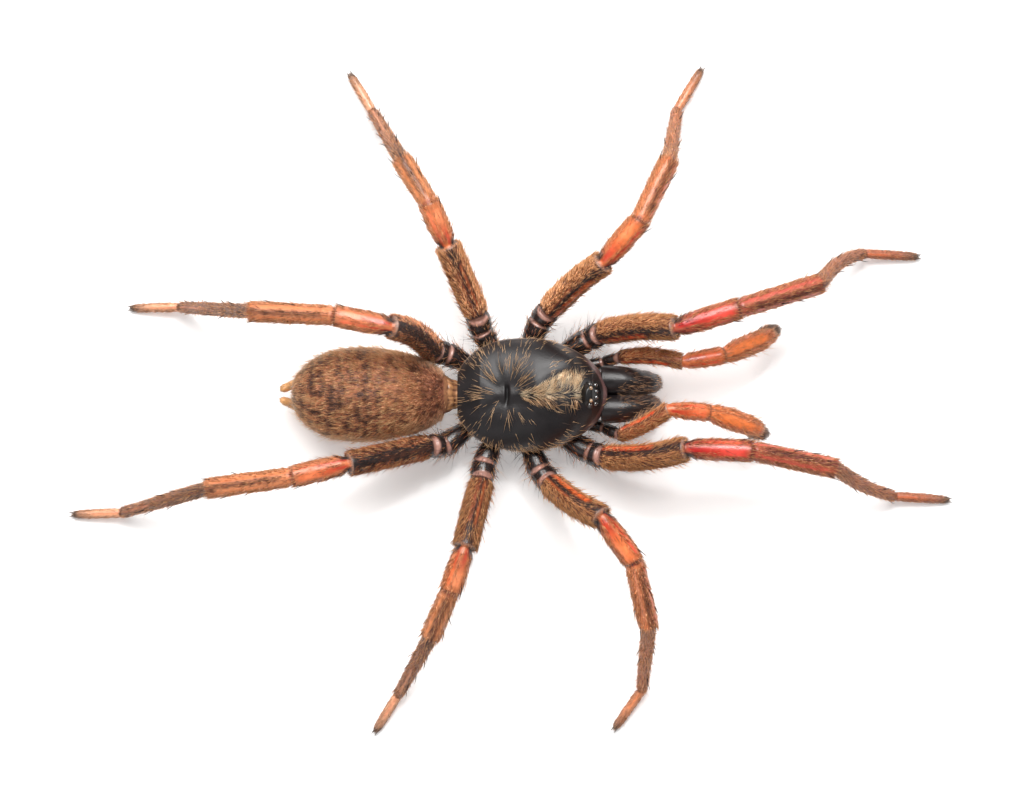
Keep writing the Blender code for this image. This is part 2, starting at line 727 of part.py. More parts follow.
def abdomen_size(x):
    """Share of the abdomen's full half-width at x."""
    if x < ABDOMEN_WIDEST:
        share = (ABDOMEN_WIDEST - x) / (ABDOMEN_WIDEST - ABDOMEN_REAR + 0.03)
        return (1 - share**2.2) ** 0.5
    share = (x - ABDOMEN_WIDEST) / ABDOMEN_FRONT_REACH
    return (1 - share**1.8) ** 0.5


def make_abdomen(finish):
    """An egg-shaped body with a blunt front against the pedicel."""
    stations = []
    for share in ABDOMEN_SECTIONS:
        x = ABDOMEN_REAR + (ABDOMEN_FRONT - ABDOMEN_REAR) * share
        size = abdomen_size(x)
        height = ABDOMEN_HEIGHT + ABDOMEN_FRONT_LIFT * ease(0.8, 1.0, share)
        height -= ABDOMEN_REAR_SINK * (1 - ease(0.0, 0.7, share))
        centre = Vector((x, 0, height))
        stations.append((centre, FORWARD, ABDOMEN_HALF_WIDTH * size, ABDOMEN_HALF_HEIGHT * size))
    sweep("abdomen", stations, BODY_SIDES, finish)


def make_spinnerets(finish):
    """Two pairs of short fingers under the rear of the abdomen."""
    for name, (inner, outer, radius) in SPINNERETS.items():
        for side_name, side in (("l", 1), ("r", -1)):
            start = Vector((inner[0], side * inner[1], inner[2]))
            end = Vector((outer[0], side * outer[1], outer[2]))
            ahead = (end - start).normalized()
            stations = []
            for share, size in SPINNERET_PROFILE:
                stations.append((start.lerp(end, share), ahead, radius * size, radius * size))
            sweep(f"{name}_{side_name}", stations, SMALL_SIDES, finish)


def centre_on_floor():
    """Moves every mesh so that the origin is under the middle of the whole, at floor level."""
    points = [v.co for obj in bpy.data.objects for v in obj.data.vertices]
    middle_x = (min(p.x for p in points) + max(p.x for p in points)) / 2
    middle_y = (min(p.y for p in points) + max(p.y for p in points)) / 2
    lowest = min(p.z for p in points)
    shift = Vector((-middle_x, -middle_y, -lowest))
    for obj in bpy.data.objects:
        for vert in obj.data.vertices:
            vert.co += shift


def main():
    clear_scene()
    finishes = make_materials()
    make_carapace(finishes["shell"])
    make_eyes(finishes["eye"])
    make_chelicerae(finishes)
    make_sternum(finishes["leg_dark"])
    make_labium(finishes["leg_dark"])
    make_pedicel(finishes["pale"])
    make_abdomen(finishes["abdomen"])
    make_spinnerets(finishes["pale"])
    for leg in KNEE_POSE:
        make_leg(leg, finishes)
    for side_name in ("l", "r"):
        make_palp(side_name, finishes)
    centre_on_floor()


main()
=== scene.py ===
"""The looks of a life-size trapdoor spider: skin, shell, eyes, hair, light and camera.

Lengths are in millimetres in the frame of the body: x from the middle of the leg span, y from the
midline and z from the floor. SHIFT moves them into the model's frame, and they become metres where a
mesh is made. A skin is a grid of rings, and hair reads its roots, lie and colours from that grid.
"""

import itertools
import math

import bpy
import numpy as np
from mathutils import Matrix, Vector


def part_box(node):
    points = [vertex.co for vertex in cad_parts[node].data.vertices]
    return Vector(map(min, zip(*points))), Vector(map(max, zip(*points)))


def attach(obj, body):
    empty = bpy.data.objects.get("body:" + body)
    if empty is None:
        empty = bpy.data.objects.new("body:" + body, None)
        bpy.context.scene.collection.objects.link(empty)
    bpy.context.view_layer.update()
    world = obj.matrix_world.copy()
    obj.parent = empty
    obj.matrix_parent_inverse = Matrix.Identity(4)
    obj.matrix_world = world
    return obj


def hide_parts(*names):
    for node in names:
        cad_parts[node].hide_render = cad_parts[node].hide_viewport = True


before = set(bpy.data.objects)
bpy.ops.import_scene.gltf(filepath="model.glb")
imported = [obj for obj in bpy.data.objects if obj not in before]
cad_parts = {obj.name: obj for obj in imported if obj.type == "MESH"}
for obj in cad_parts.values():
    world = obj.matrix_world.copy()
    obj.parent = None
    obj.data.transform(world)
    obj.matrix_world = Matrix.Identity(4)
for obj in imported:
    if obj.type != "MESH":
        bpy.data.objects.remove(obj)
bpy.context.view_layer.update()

MM = 0.001
UP = np.array((0.0, 0.0, 1.0))
SIDES = {"l": 1, "r": -1}
SEED = 2026

# Driving dimensions: those of the solids, apart from the fovea, the chelicerae and the spinnerets,
# which are drawn more finely here
CARAPACE_REAR = -3.17
CARAPACE_FRONT = 5.83
CARAPACE_WIDEST = 1.2
CARAPACE_HALF_WIDTH = 3.4
CARAPACE_RIM = 3.35
RIM_THICKNESS = 0.22
CARAPACE_RISE = (
    *((-3.17, 0.32), (-1.8, 0.95), (-0.25, 1.28), (1.5, 1.72)),
    *((3.6, 2.05), (4.9, 1.8), (5.83, 0.7)),
)
CAPUT = (1.0, 5.3)
CAPUT_HALF_WIDTH = 1.25
CAPUT_RISE = 0.2
FOVEA_X = -0.25
FOVEA_DEPTH = 0.315
TUBERCLE_CENTRE = (4.85, 0.0)
TUBERCLE_HALF = (0.62, 0.86)
TUBERCLE_RISE = 0.42

ABDOMEN_REAR = -13.05
ABDOMEN_FRONT = -3.75
ABDOMEN_WIDEST = -8.85
ABDOMEN_FRONT_REACH = 5.45
ABDOMEN_HEIGHT = 3.4
ABDOMEN_HALF_WIDTH = 2.9
ABDOMEN_HALF_HEIGHT = 2.5
ABDOMEN_REAR_SINK = 0.35
ABDOMEN_FRONT_LIFT = 0.1
# The skin's size as a share of the outline, which the coat reaches
ABDOMEN_SKIN_SHARE = 0.965
# The left spinneret of each pair: inner end, outer end and radius
SPINNERETS = {
    "spinneret": ((-12.5, 0.78, 1.5), (-13.8, 0.34, 2.15), 0.26),
    "spinneret_small": ((-11.75, 0.4, 0.86), (-12.35, 0.4, 0.95), 0.2),
}

# Stations of a chelicera: x, distance from the midline, z, half-width and half-height
CHELICERA = (
    (5.5, 0.86, 3.4, 0.86, 0.85),
    (6.13, 0.86, 3.45, 0.87, 0.93),
    (6.7, 0.84, 3.42, 0.85, 1.03),
    (7.5, 0.76, 3.22, 0.78, 1.05),
    (8.2, 0.71, 2.9, 0.7, 0.92),
    (8.55, 0.68, 2.65, 0.58, 0.72),
    (8.8, 0.64, 2.5, 0.38, 0.46),
    (8.9, 0.6, 2.42, 0.1, 0.1),
)
# Stations of a fang, from its root inside the chelicera to its point: x, z and radius
FANG = (
    (8.5, 2.2, 0.34),
    (8.4, 1.52, 0.26),
    (8.1, 1.18, 0.26),
    (7.45, 0.95, 0.22),
    (6.7, 0.92, 0.15),
    (6.1, 1.05, 0.06),
)
FANG_OFFSET = 0.82
STERNUM_CENTRE_X = 0.1
STERNUM_HALF = (2.35, 1.72)
# The sternum's rings: their level and share of its half-size
STERNUM_RINGS = ((1.5, 0.3), (1.56, 0.72), (1.66, 0.9), (1.9, 0.985), (2.5, 0.98), (3.3, 0.9))
# Stations of the labium: x, z, half-width and half-height
LABIUM = ((2.8, 2.1, 0.42, 0.46), (3.0, 2.12, 0.48, 0.5), (3.3, 2.15, 0.44, 0.46), (3.48, 2.18, 0.26, 0.3))

COXA, TROCHANTER, FEMUR, PATELLA, TIBIA, METATARSUS, TARSUS = range(7)
LEG_LENGTHS = {
    1: (0.91, 6.32, 3.98, 5.34, 6.2, 3.3),
    2: (0.95, 5.84, 3.37, 4.27, 6.15, 2.87),
    3: (1.08, 5.2, 2.82, 3.3, 5.52, 2.6),
    4: (0.92, 6.05, 3.45, 5.4, 7.05, 2.95),
}
COXA_END_HEIGHT = 2.6
COXA_ROOT_HEIGHT = 2.15
FOOT_HEIGHT = 0.21
COXA_ROOT = {1: (1.85, 1.7), 2: (0.75, 2.05), 3: (-0.65, 2.05), 4: (-1.88, 1.55)}
# Coxa's outer end, headings of the segments after it, and the heights of their joints
KNEE_POSE = {
    "l1": ((4.7, 3.3), (27, 4, 17, 17, 34, -3), (3.03, 7.5, 7.64, 6.03, 0.8)),
    "l2": ((1.8, 4.41), (51, 41, 49, 64, 80, 59), (3.1, 7.04, 7.5, 5.97, 0.72)),
    "l3": ((-1.74, 3.81), (103, 113, 114, 122, 121, 121), (3.13, 5.63, 6.2, 4.96, 0.72)),
    "l4": ((-3.78, 2.44), (168, 150, 169, 177, 176, 181), (2.97, 8.31, 8.0, 6.34, 0.78)),
    "r1": ((4.8, -3.51), (-16, 6, -2, -12, -25, -4), (3.0, 6.95, 6.9, 5.42, 0.71)),
    "r2": ((1.8, -4.59), (-51, -33, -54, -77, -95, -125), (2.94, 7.48, 7.02, 5.5, 0.78)),
    "r3": ((-1.56, -4.11), (-97, -104, -109, -113, -119, -122), (2.98, 6.15, 5.84, 4.46, 0.77)),
    "r4": ((-3.96, -3.09), (-180, -168, -167, -172, -164, -178), (3.05, 6.47, 6.64, 5.18, 0.73)),
}
FEMUR_BOW = 0.22
FEMUR_SIDE_BOW = {"l1": 0.2, "l2": 0.15, "l4": -0.3, "r1": -0.24, "r2": -0.18}
METATARSUS_SIDE_BOW = {"l1": 0.38, "r1": -0.22}
# The skin's half-width along each segment, as shares, with its real steps at the joints
LEG_PROFILE = (
    ((0.0, 0.55), (0.3, 0.74), (0.7, 1.0), (0.9, 1.07), (0.96, 1.05), (1.0, 0.93)),
    ((0.0, 0.87), (0.12, 1.03), (0.35, 1.07), (0.8, 1.06), (0.94, 1.0), (1.0, 0.88)),
    (
        *((0.0, 0.8), (0.03, 0.9), (0.08, 0.97), (0.3, 1.0)),
        *((0.95, 1.0), (0.98, 0.98), (0.99, 0.96), (1.0, 0.76)),
    ),
    ((0.0, 0.66), (0.05, 0.76), (0.13, 0.9), (0.45, 1.0), (0.85, 1.0), (0.96, 0.97), (1.0, 0.9)),
    (
        *((0.0, 0.88), (0.035, 0.95), (0.1, 0.97), (0.45, 1.0)),
        *((0.85, 1.02), (0.95, 1.0), (0.98, 0.94), (1.0, 0.7)),
    ),
    ((0.0, 0.88), (0.04, 0.98), (0.1, 1.04), (0.35, 1.0), (0.7, 0.88), (0.95, 0.82), (1.0, 0.7)),
    ((0.0, 0.88), (0.05, 0.98), (0.2, 1.04), (0.55, 1.02), (0.85, 0.94), (0.96, 0.74), (1.0, 0.4)),
)
LEG_HALF_WIDTH = (0.7, 0.72, 0.76, 0.69, 0.63, 0.43, 0.29)
LEG_HEIGHT_RATIO = (1.05, 1.05, 1.12, 1.0, 1.0, 1.0, 1.0)
LEG_COAT_DEPTH = (0.03, 0.03, 0.05, 0.045, 0.045, 0.04, 0.03)
LEG_SHAPE = tuple(zip(LEG_PROFILE, LEG_HALF_WIDTH, LEG_HEIGHT_RATIO, LEG_COAT_DEPTH))
RING_STEP = 0.11
LIMB_SIDES = 30

PALP_PROFILE = (
    ((0.0, 0.6), (0.35, 0.85), (0.75, 1.0), (0.95, 0.94), (1.0, 0.84)),
    ((0.0, 0.84), (0.2, 0.98), (0.6, 1.0), (1.0, 0.84)),
    ((0.0, 0.8), (0.12, 0.94), (0.4, 1.0), (0.75, 1.0), (0.95, 0.98), (0.985, 0.95), (1.0, 0.76)),
    ((0.0, 0.68), (0.14, 0.86), (0.5, 1.0), (0.88, 1.0), (1.0, 0.84)),
    ((0.0, 0.8), (0.12, 0.94), (0.4, 1.05), (0.72, 0.98), (0.9, 0.78), (0.97, 0.62), (1.0, 0.4)),
)
PALP_HALF_WIDTH = (0.44, 0.4, 0.5, 0.56, 0.64)
PALP_COAT_DEPTH = (0.03, 0.03, 0.045, 0.045, 0.045)
PALP_SHAPE = tuple(zip(PALP_PROFILE, PALP_HALF_WIDTH, (1.0,) * len(PALP_PROFILE), PALP_COAT_DEPTH))
PALP_ROOT = (2.55, 1.15, 2.1)
PALP_JOINTS = {
    "l": ((5.58, 1.92, 2.2), (6.54, 2.22, 2.75), (10.3, 1.95, 5.1), (12.88, 2.36, 4.65), (15.85, 3.6, 2.95)),
    "r": ((5.6, -1.98, 2.2), (6.6, -2.44, 2.85), (9.44, -0.9, 6.1), (11.94, -1.08, 5.4), (15.12, -2.1, 3.9)),
}
PALP_FEMUR_BOW = 0.4
PALP_SIDE_BOW = {"l": 0.22, "r": 0.12}
# Stations of a palp's tarsus: how far back, outward and down, half-width and half-height
PALP_TARSUS = (
    (-0.4, 0.0, 0.0, 0.1, 0.1),
    (-0.2, 0.0, 0.0, 0.3, 0.26),
    (0.0, 0.0, 0.0, 0.38, 0.32),
    (0.6, 0.12, 0.12, 0.4, 0.34),
    (1.2, 0.2, 0.3, 0.2, 0.16),
)

# Camera: straight above, with the photo's scale of 0.06 mm a pixel at the level of the legs
CAMERA_PLACE = (0.12, -0.21, 500.0)
PIXEL = 0.06
IMAGE_WIDTH = 1024
SENSOR = 36.0
SHARP_LEVEL = 3.0

carapace_low, carapace_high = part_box("carapace")
SHIFT = np.array((carapace_low.x / MM - CARAPACE_REAR, (carapace_low.y + carapace_high.y) / 2 / MM, 0.0))


# Numbers and colours


def tone(red, green, blue):
    """A colour as seen on a screen, 0 to 255, as the linear colour that shaders use."""
    seen = np.array((red, green, blue)) / 255
    return np.where(seen <= 0.04045, seen / 12.92, ((seen + 0.055) / 1.055) ** 2.4)


def unit(vectors):
    return vectors / np.maximum(np.linalg.norm(vectors, axis=-1, keepdims=True), 1e-12)


def ease(low, high, value):
    """0 below low, 1 above high, and a smooth step between."""
    t = np.clip((value - low) / (high - low), 0, 1)
    return t * t * (3 - 2 * t)


def band(value, centre, half, soft):
    """1 within half of centre, easing to 0 over a soft edge."""
    return 1 - ease(half - soft, half + soft, np.abs(value - centre))


def bell(value, width):
    """1 at zero, falling off over about width."""
    return np.exp(-((value / width) ** 2))


def read(table, value):
    """Reads (place, value) pairs in straight runs."""
    return np.interp(value, *zip(*table))


def rows_at(place, knots, rows):
    """Rows of numbers read at places between their knots."""
    return np.stack([np.interp(place, knots, column) for column in np.transpose(rows)], axis=1)


def rolled(rows, width, step=1.0):
    """Rows of numbers along a line, smoothed over about width."""
    reach = int(3 * width / step)
    offsets = np.arange(-reach, reach + 1) * step
    weights = np.exp(-((offsets / width) ** 2) / 2)
    weights /= weights.sum()
    padded = np.pad(rows, ((reach, reach), (0, 0)), mode="edge")
    return np.stack([np.convolve(column, weights, mode="valid") for column in padded.T], axis=1)


def grid_of(*parts):
    """A grid of points from x, y and z, each of them a row, a column, a grid or one number."""
    return np.stack(np.broadcast_arrays(*parts), axis=-1)


def dense_ends(count):
    """Shares from 0 to 1 that lie closer together towards both ends."""
    return (1 - np.cos(np.linspace(0, 1, count) * math.pi)) / 2


def circle(sides):
    """Angles of a full turn in radians, as one row of a grid."""
    return (2 * math.pi * np.arange(sides) / sides)[None]


def degrees_round(sides):
    """Angles round a ring from -180 degrees, at the middle of each side."""
    return -180 + 360 * (np.arange(sides) + 0.5) / sides


def outline_loss(x, rear, widest, front, powers):
    """0 at the widest place of an outline and 1 at its two ends: the loss of its squared half-width."""
    behind = np.clip((widest - x) / (widest - rear), 0, 1) ** powers[0]
    ahead = np.clip((x - widest) / (front - widest), 0, 1) ** powers[1]
    return np.where(x < widest, behind, ahead)


def mix(low, high, share):
    """Colours between low and high by an array of shares."""
    return low + (high - low) * np.asarray(share)[..., None]


def paint(tint, *layers):
    """Lays colours over a tint, each given as seen on a screen, with its array of shares."""
    for seen, share in layers:
        tint = mix(tint, tone(*seen), share)
    return tint


def lit(colour, scale):
    """Colours made lighter and paler, or darker and redder, by an array of scales, up to 0.95."""
    made = colour * np.asarray(scale)[..., None] ** np.array((1.0, 1.15, 1.3))
    return made / np.maximum(1.0, made.max(axis=-1, keepdims=True) / 0.95)


def cloud(points, size, seed):
    """Smooth random values from 0 to 1 that change over about size mm."""
    cells = 32
    table = np.random.default_rng(seed).random((cells, cells, cells))
    place = points / size + 100
    cell = np.floor(place).astype(int)
    part = place - cell
    part = part * part * (3 - 2 * part)
    total = np.zeros(points.shape[:-1])
    for corner in itertools.product((0, 1), repeat=3):
        weight = np.prod(np.where(np.array(corner) == 1, part, 1 - part), axis=-1)
        index = (cell + np.array(corner)) % cells
        total += weight * table[index[..., 0], index[..., 1], index[..., 2]]
    return total


# Materials


def set_inputs(node, values):
    for label, value in values.items():
        node.inputs[label].default_value = value


def new_node(tree, kind, values=None):
    node = tree.nodes.new(kind)
    set_inputs(node, values or {})
    return node


def new_material(name, values):
    made = bpy.data.materials.new(name)
    made.use_nodes = True
    shader = made.node_tree.nodes["Principled BSDF"]
    set_inputs(shader, values)
    return made, made.node_tree, shader


def noise(tree, size, detail=3.0):
    """Noise in the model's own space whose features are about size mm wide."""
    place = new_node(tree, "ShaderNodeTexCoord")
    texture = new_node(tree, "ShaderNodeTexNoise", {"Scale": 1 / (size * MM), "Detail": detail})
    tree.links.new(place.outputs["Object"], texture.inputs["Vector"])
    return texture.outputs["Fac"]


def mapped(tree, source, values):
    """A socket's values mapped from one range onto another."""
    ramp = new_node(tree, "ShaderNodeMapRange", values)
    tree.links.new(source, ramp.inputs["Value"])
    return ramp.outputs["Result"]


def read_attribute(tree, label):
    source = new_node(tree, "ShaderNodeAttribute")
    source.attribute_name = label
    return source.outputs


def tinted(tree, shader, texture, low, high):
    """Base colour from the tint attribute, made uneven by a texture."""
    scaled = new_node(tree, "ShaderNodeVectorMath")
    scaled.operation = "SCALE"
    scale = mapped(tree, texture, {"From Min": 0.3, "From Max": 0.7, "To Min": low, "To Max": high})
    tree.links.new(read_attribute(tree, "tint")["Color"], scaled.inputs[0])
    tree.links.new(scale, scaled.inputs["Scale"])
    tree.links.new(scaled.outputs["Vector"], shader.inputs["Base Color"])


def skin_material(name, grain, depth, coat=0.0, specular=0.5):
    """Cuticle: tint and gloss from the skin, with a fine leathery relief depth mm high."""
    values = {"Coat Weight": coat, "Coat Roughness": 0.25, "Specular IOR Level": specular}
    made, tree, shader = new_material(name, values)
    tree.links.new(read_attribute(tree, "rough")["Fac"], shader.inputs["Roughness"])
    tinted(tree, shader, noise(tree, grain * 3), 0.82, 1.15)
    relief = new_node(tree, "ShaderNodeBump", {"Strength": 0.6, "Distance": depth * MM})
    tree.links.new(noise(tree, grain), relief.inputs["Height"])
    tree.links.new(relief.outputs["Normal"], shader.inputs["Normal"])
    return made


def hair_material(name, roughness, specular, glint=0.0):
    """Hair: tint by root and tip, uneven from hair to hair, with a glint of its own colour."""
    values = {"Roughness": roughness, "Specular IOR Level": specular, "Metallic": glint}
    made, tree, shader = new_material(name, values)
    tinted(tree, shader, noise(tree, 0.12, 1.0), 0.8, 1.05)
    return made


def eye_material(name, low, high):
    """A clear wet dome with a coloured depth."""
    made, tree, shader = new_material(name, {"Roughness": 0.06, "Specular IOR Level": 1.0})
    set_inputs(shader, {"Coat Weight": 1.0, "Coat Roughness": 0.03, "Coat IOR": 2.2})
    ramp = new_node(tree, "ShaderNodeValToRGB")
    for element, position, colour in zip(ramp.color_ramp.elements, (0.35, 0.65), (low, high)):
        element.position = position
        element.color = (*colour, 1)
    tree.links.new(noise(tree, 0.1, 1.0), ramp.inputs["Fac"])
    tree.links.new(ramp.outputs["Color"], shader.inputs["Base Color"])
    return made


FINISHES = {
    "leg": skin_material("leg_cuticle", 0.09, 0.02, coat=0.3),
    "shell": skin_material("shell_cuticle", 0.11, 0.022, coat=0.08, specular=0.45),
    "abdomen": skin_material("abdomen_skin", 0.12, 0.04),
    "pale": skin_material("pale_skin", 0.12, 0.03, coat=0.2),
    "hair": hair_material("short_hair", 0.34, 0.9, 0.3),
    "bristle": hair_material("bristle", 0.35, 0.4),
    "claw": skin_material("claw_cuticle", 0.06, 0.005, coat=0.4),
    "eye_clear": eye_material("eye_clear", (0.004, 0.003, 0.003), (0.012, 0.009, 0.008)),
    "eye_amber": eye_material("eye_amber", (0.1, 0.045, 0.015), (0.5, 0.28, 0.12)),
}


# Skins


class Skin:
    """A closed surface of rings with its tint, gloss and other values over the same grid."""

    def __init__(self, points, tint=(0.0, 0.0, 0.0), rough=0.5, **fields):
        self.points = points
        self.fields = fields
        self.dress(tint, rough)
        ahead = np.gradient(points, axis=0)
        around = np.roll(points, -1, axis=1) - np.roll(points, 1, axis=1)
        normal = unit(np.cross(around, ahead))
        outward = points - points.mean(axis=1, keepdims=True)
        self.flipped = float((normal * outward).sum()) < 0
        self.normal = -normal if self.flipped else normal
        self.ahead = unit(ahead)
        self.around = unit(around)
        length = np.linalg.norm(np.diff(points.mean(axis=1), axis=0), axis=1)
        travelled = np.concatenate(((0.0,), np.cumsum(length + 1e-6)))
        self.along = np.repeat((travelled / travelled[-1])[:, None], points.shape[1], axis=1)

    def dress(self, tint, rough):
        shape = self.points.shape[:2]
        self.tint = np.array(np.broadcast_to(tint, (*shape, 3)))
        self.rough = np.array(np.broadcast_to(rough, shape))

    def scatter(self, density, rng):
        """Random places on the skin, with the density in hairs per square mm over the grid."""
        p = self.points
        q = np.roll(p, -1, axis=1)
        area = np.linalg.norm(np.cross(q[:-1] - p[1:], p[:-1] - q[1:]), axis=-1) / 2
        density = np.broadcast_to(density, p.shape[:2])
        expected = area * (density[:-1] + density[1:]) / 2
        count = int(expected.sum())
        order = rng.choice(expected.size, size=count, p=(expected / expected.sum()).ravel())
        ring, side = np.unravel_index(order, expected.shape)
        return ring, side, rng.random(count), rng.random(count)

    def sample(self, grid, places):
        """Values of a grid array at scattered places."""
        ring, side, along, around = places
        following = (side + 1) % self.points.shape[1]
        if grid.ndim == 3:
            along, around = along[:, None], around[:, None]
        low = grid[ring, side] * (1 - around) + grid[ring, following] * around
        high = grid[ring + 1, side] * (1 - around) + grid[ring + 1, following] * around
        return low * (1 - along) + high * along

    def unwrap(self, places, part=0, parts=1):
        """Places on the unrolled skin, which takes one of several strips of the map."""
        across = (places[1] + 0.5 + places[3]) / self.points.shape[1] % 1.0
        along = self.sample(self.along, places)
        return np.stack(((part + 0.01 + 0.98 * across) / parts, 0.005 + 0.99 * along), axis=-1)

    def lay(self, places, heading, rng, scatter=0.0):
        """Headings of hairs, loosened by scatter and laid flat on the skin, and the skin's normals."""
        normal = unit(self.sample(self.normal, places))
        if scatter:
            heading = heading + rng.normal(0, scatter, heading.shape)
        return unit(heading - normal * (heading * normal).sum(axis=1, keepdims=True)), normal

    def comb(self, places, along, around, rng, scatter=0.16):
        """Lie of hairs, as shares of the ring-to-ring and round-the-ring directions, and normals."""
        loose = rng.normal(0, scatter, (2, len(places[0]), 1))
        lie = self.sample(self.ahead, places) * (np.reshape(along, (-1, 1)) + loose[0])
        lie = lie + self.sample(self.around, places) * (np.reshape(around, (-1, 1)) + loose[1])
        return self.lay(places, lie, rng)


def sweep(centre, ahead, half_width, half_height, turn, side=-1):
    """Rings of points round a line. turn goes from the top towards side."""
    across = unit(np.cross(ahead, UP)) * side
    upward = np.cross(across, ahead) * side
    sideways = across[:, None] * (half_width * np.sin(turn))[..., None]
    return centre[:, None] + sideways + upward[:, None] * (half_height * np.cos(turn))[..., None]


def tube(line, radii, sides, tint, rough):
    """A small skin swept along a line of points."""
    radii = radii[:, None]
    points = sweep(line, unit(np.gradient(line, axis=0)), radii, radii, math.pi / 2 - circle(sides))
    return Skin(points, tint, rough)


def lofted(stations, sides, count):
    """Points of a smooth body through stations of x, y, z, half-width and half-height."""
    stations = np.array(stations, float)
    spacing = count / len(stations)
    rows = rows_at(np.linspace(0, len(stations) - 1, count), np.arange(len(stations)), stations)
    centre, half = rows[:, :3], rolled(rows[:, 3:], spacing * 0.3)
    centre[1:-1] = rolled(centre, spacing * 0.35)[1:-1]
    ahead = unit(rolled(np.gradient(centre, axis=0), spacing * 0.4))
    return sweep(centre, ahead, half[:, :1], half[:, 1:], np.radians(degrees_round(sides))[None])


def share_along(points):
    """The share along a body of rings, over its grid."""
    return np.repeat(np.linspace(0, 1, len(points))[:, None], points.shape[1], axis=1)


def skin_faces(rings, sides, flipped):
    """Quads of the grid and a fan on each end. The two end points come after the grid's points."""
    ring, side = np.meshgrid(np.arange(rings - 1), np.arange(sides), indexing="ij")
    here = ring * sides + side
    beside = ring * sides + (side + 1) % sides
    quads = np.stack((here, beside, beside + sides, here + sides), axis=-1).reshape(-1, 4)
    around = np.arange(sides)
    following = (around + 1) % sides
    first = np.stack((following, around, np.full(sides, rings * sides)), axis=-1)
    top = (rings - 1) * sides
    last = np.stack((around + top, following + top, np.full(sides, rings * sides + 1)), axis=-1)
    fans = np.concatenate((first, last))
    if flipped:
        return quads[:, ::-1], fans[:, ::-1]
    return quads, fans


def write_mesh(name, points, face_groups, attributes, uv=None):
    """A mesh in metres in the model's frame. Attributes are values per point, single or colours."""
    mesh = bpy.data.meshes.new(name)
    mesh.vertices.add(len(points))
    mesh.vertices.foreach_set("co", ((points + SHIFT) * MM).astype(np.float32).ravel())
    corners = np.concatenate([faces.ravel() for faces in face_groups])
    sizes = np.concatenate([np.full(len(faces), faces.shape[1]) for faces in face_groups])
    mesh.loops.add(len(corners))
    mesh.loops.foreach_set("vertex_index", corners.astype(np.int32))
    mesh.polygons.add(len(sizes))
    mesh.polygons.foreach_set("loop_start", (np.cumsum(sizes) - sizes).astype(np.int32))
    mesh.update(calc_edges=True)
    for label, values in attributes.items():
        if values.ndim == 2:
            layer = mesh.attributes.new(label, "FLOAT_COLOR", "POINT")
            coloured = np.concatenate((values, np.ones((len(values), 1))), axis=1)
            layer.data.foreach_set("color", coloured.astype(np.float32).ravel())
        else:
            layer = mesh.attributes.new(label, "FLOAT", "POINT")
            layer.data.foreach_set("value", values.astype(np.float32))
    if uv is not None:
        layer = mesh.uv_layers.new(name="OFBake")
        layer.uv.foreach_set("vector", uv[corners].astype(np.float32).ravel())
    mesh.shade_smooth()
    return mesh


def add_piece(name, mesh, finish, nodes=()):
    obj = bpy.data.objects.new(name, mesh)
    bpy.context.scene.collection.objects.link(obj)
    mesh.materials.append(FINISHES[finish])
    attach(obj, "root")
    if nodes:
        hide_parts(*nodes)


def skin_piece(name, skins, finish, slot, *nodes):
    """One mesh of one or more skins, in place of the solids' nodes."""
    points, tints, roughs, quads, fans = [], [], [], [], []
    start = 0
    for skin in skins:
        rings, sides = skin.points.shape[:2]
        for rows, grid in ((points, skin.points), (tints, skin.tint), (roughs, skin.rough[..., None])):
            ends = np.stack((grid[0].mean(axis=0), grid[-1].mean(axis=0)))
            rows.append(np.concatenate((grid.reshape(rings * sides, -1), ends)))
        four, three = skin_faces(rings, sides, skin.flipped)
        quads.append(four + start)
        fans.append(three + start)
        start += rings * sides + 2
    attributes = {"tint": np.concatenate(tints), "rough": np.concatenate(roughs)[:, 0]}
    faces = [np.concatenate(quads), np.concatenate(fans)]
    add_piece(name, write_mesh(name, np.concatenate(points), faces, attributes), finish, nodes)


# Hair


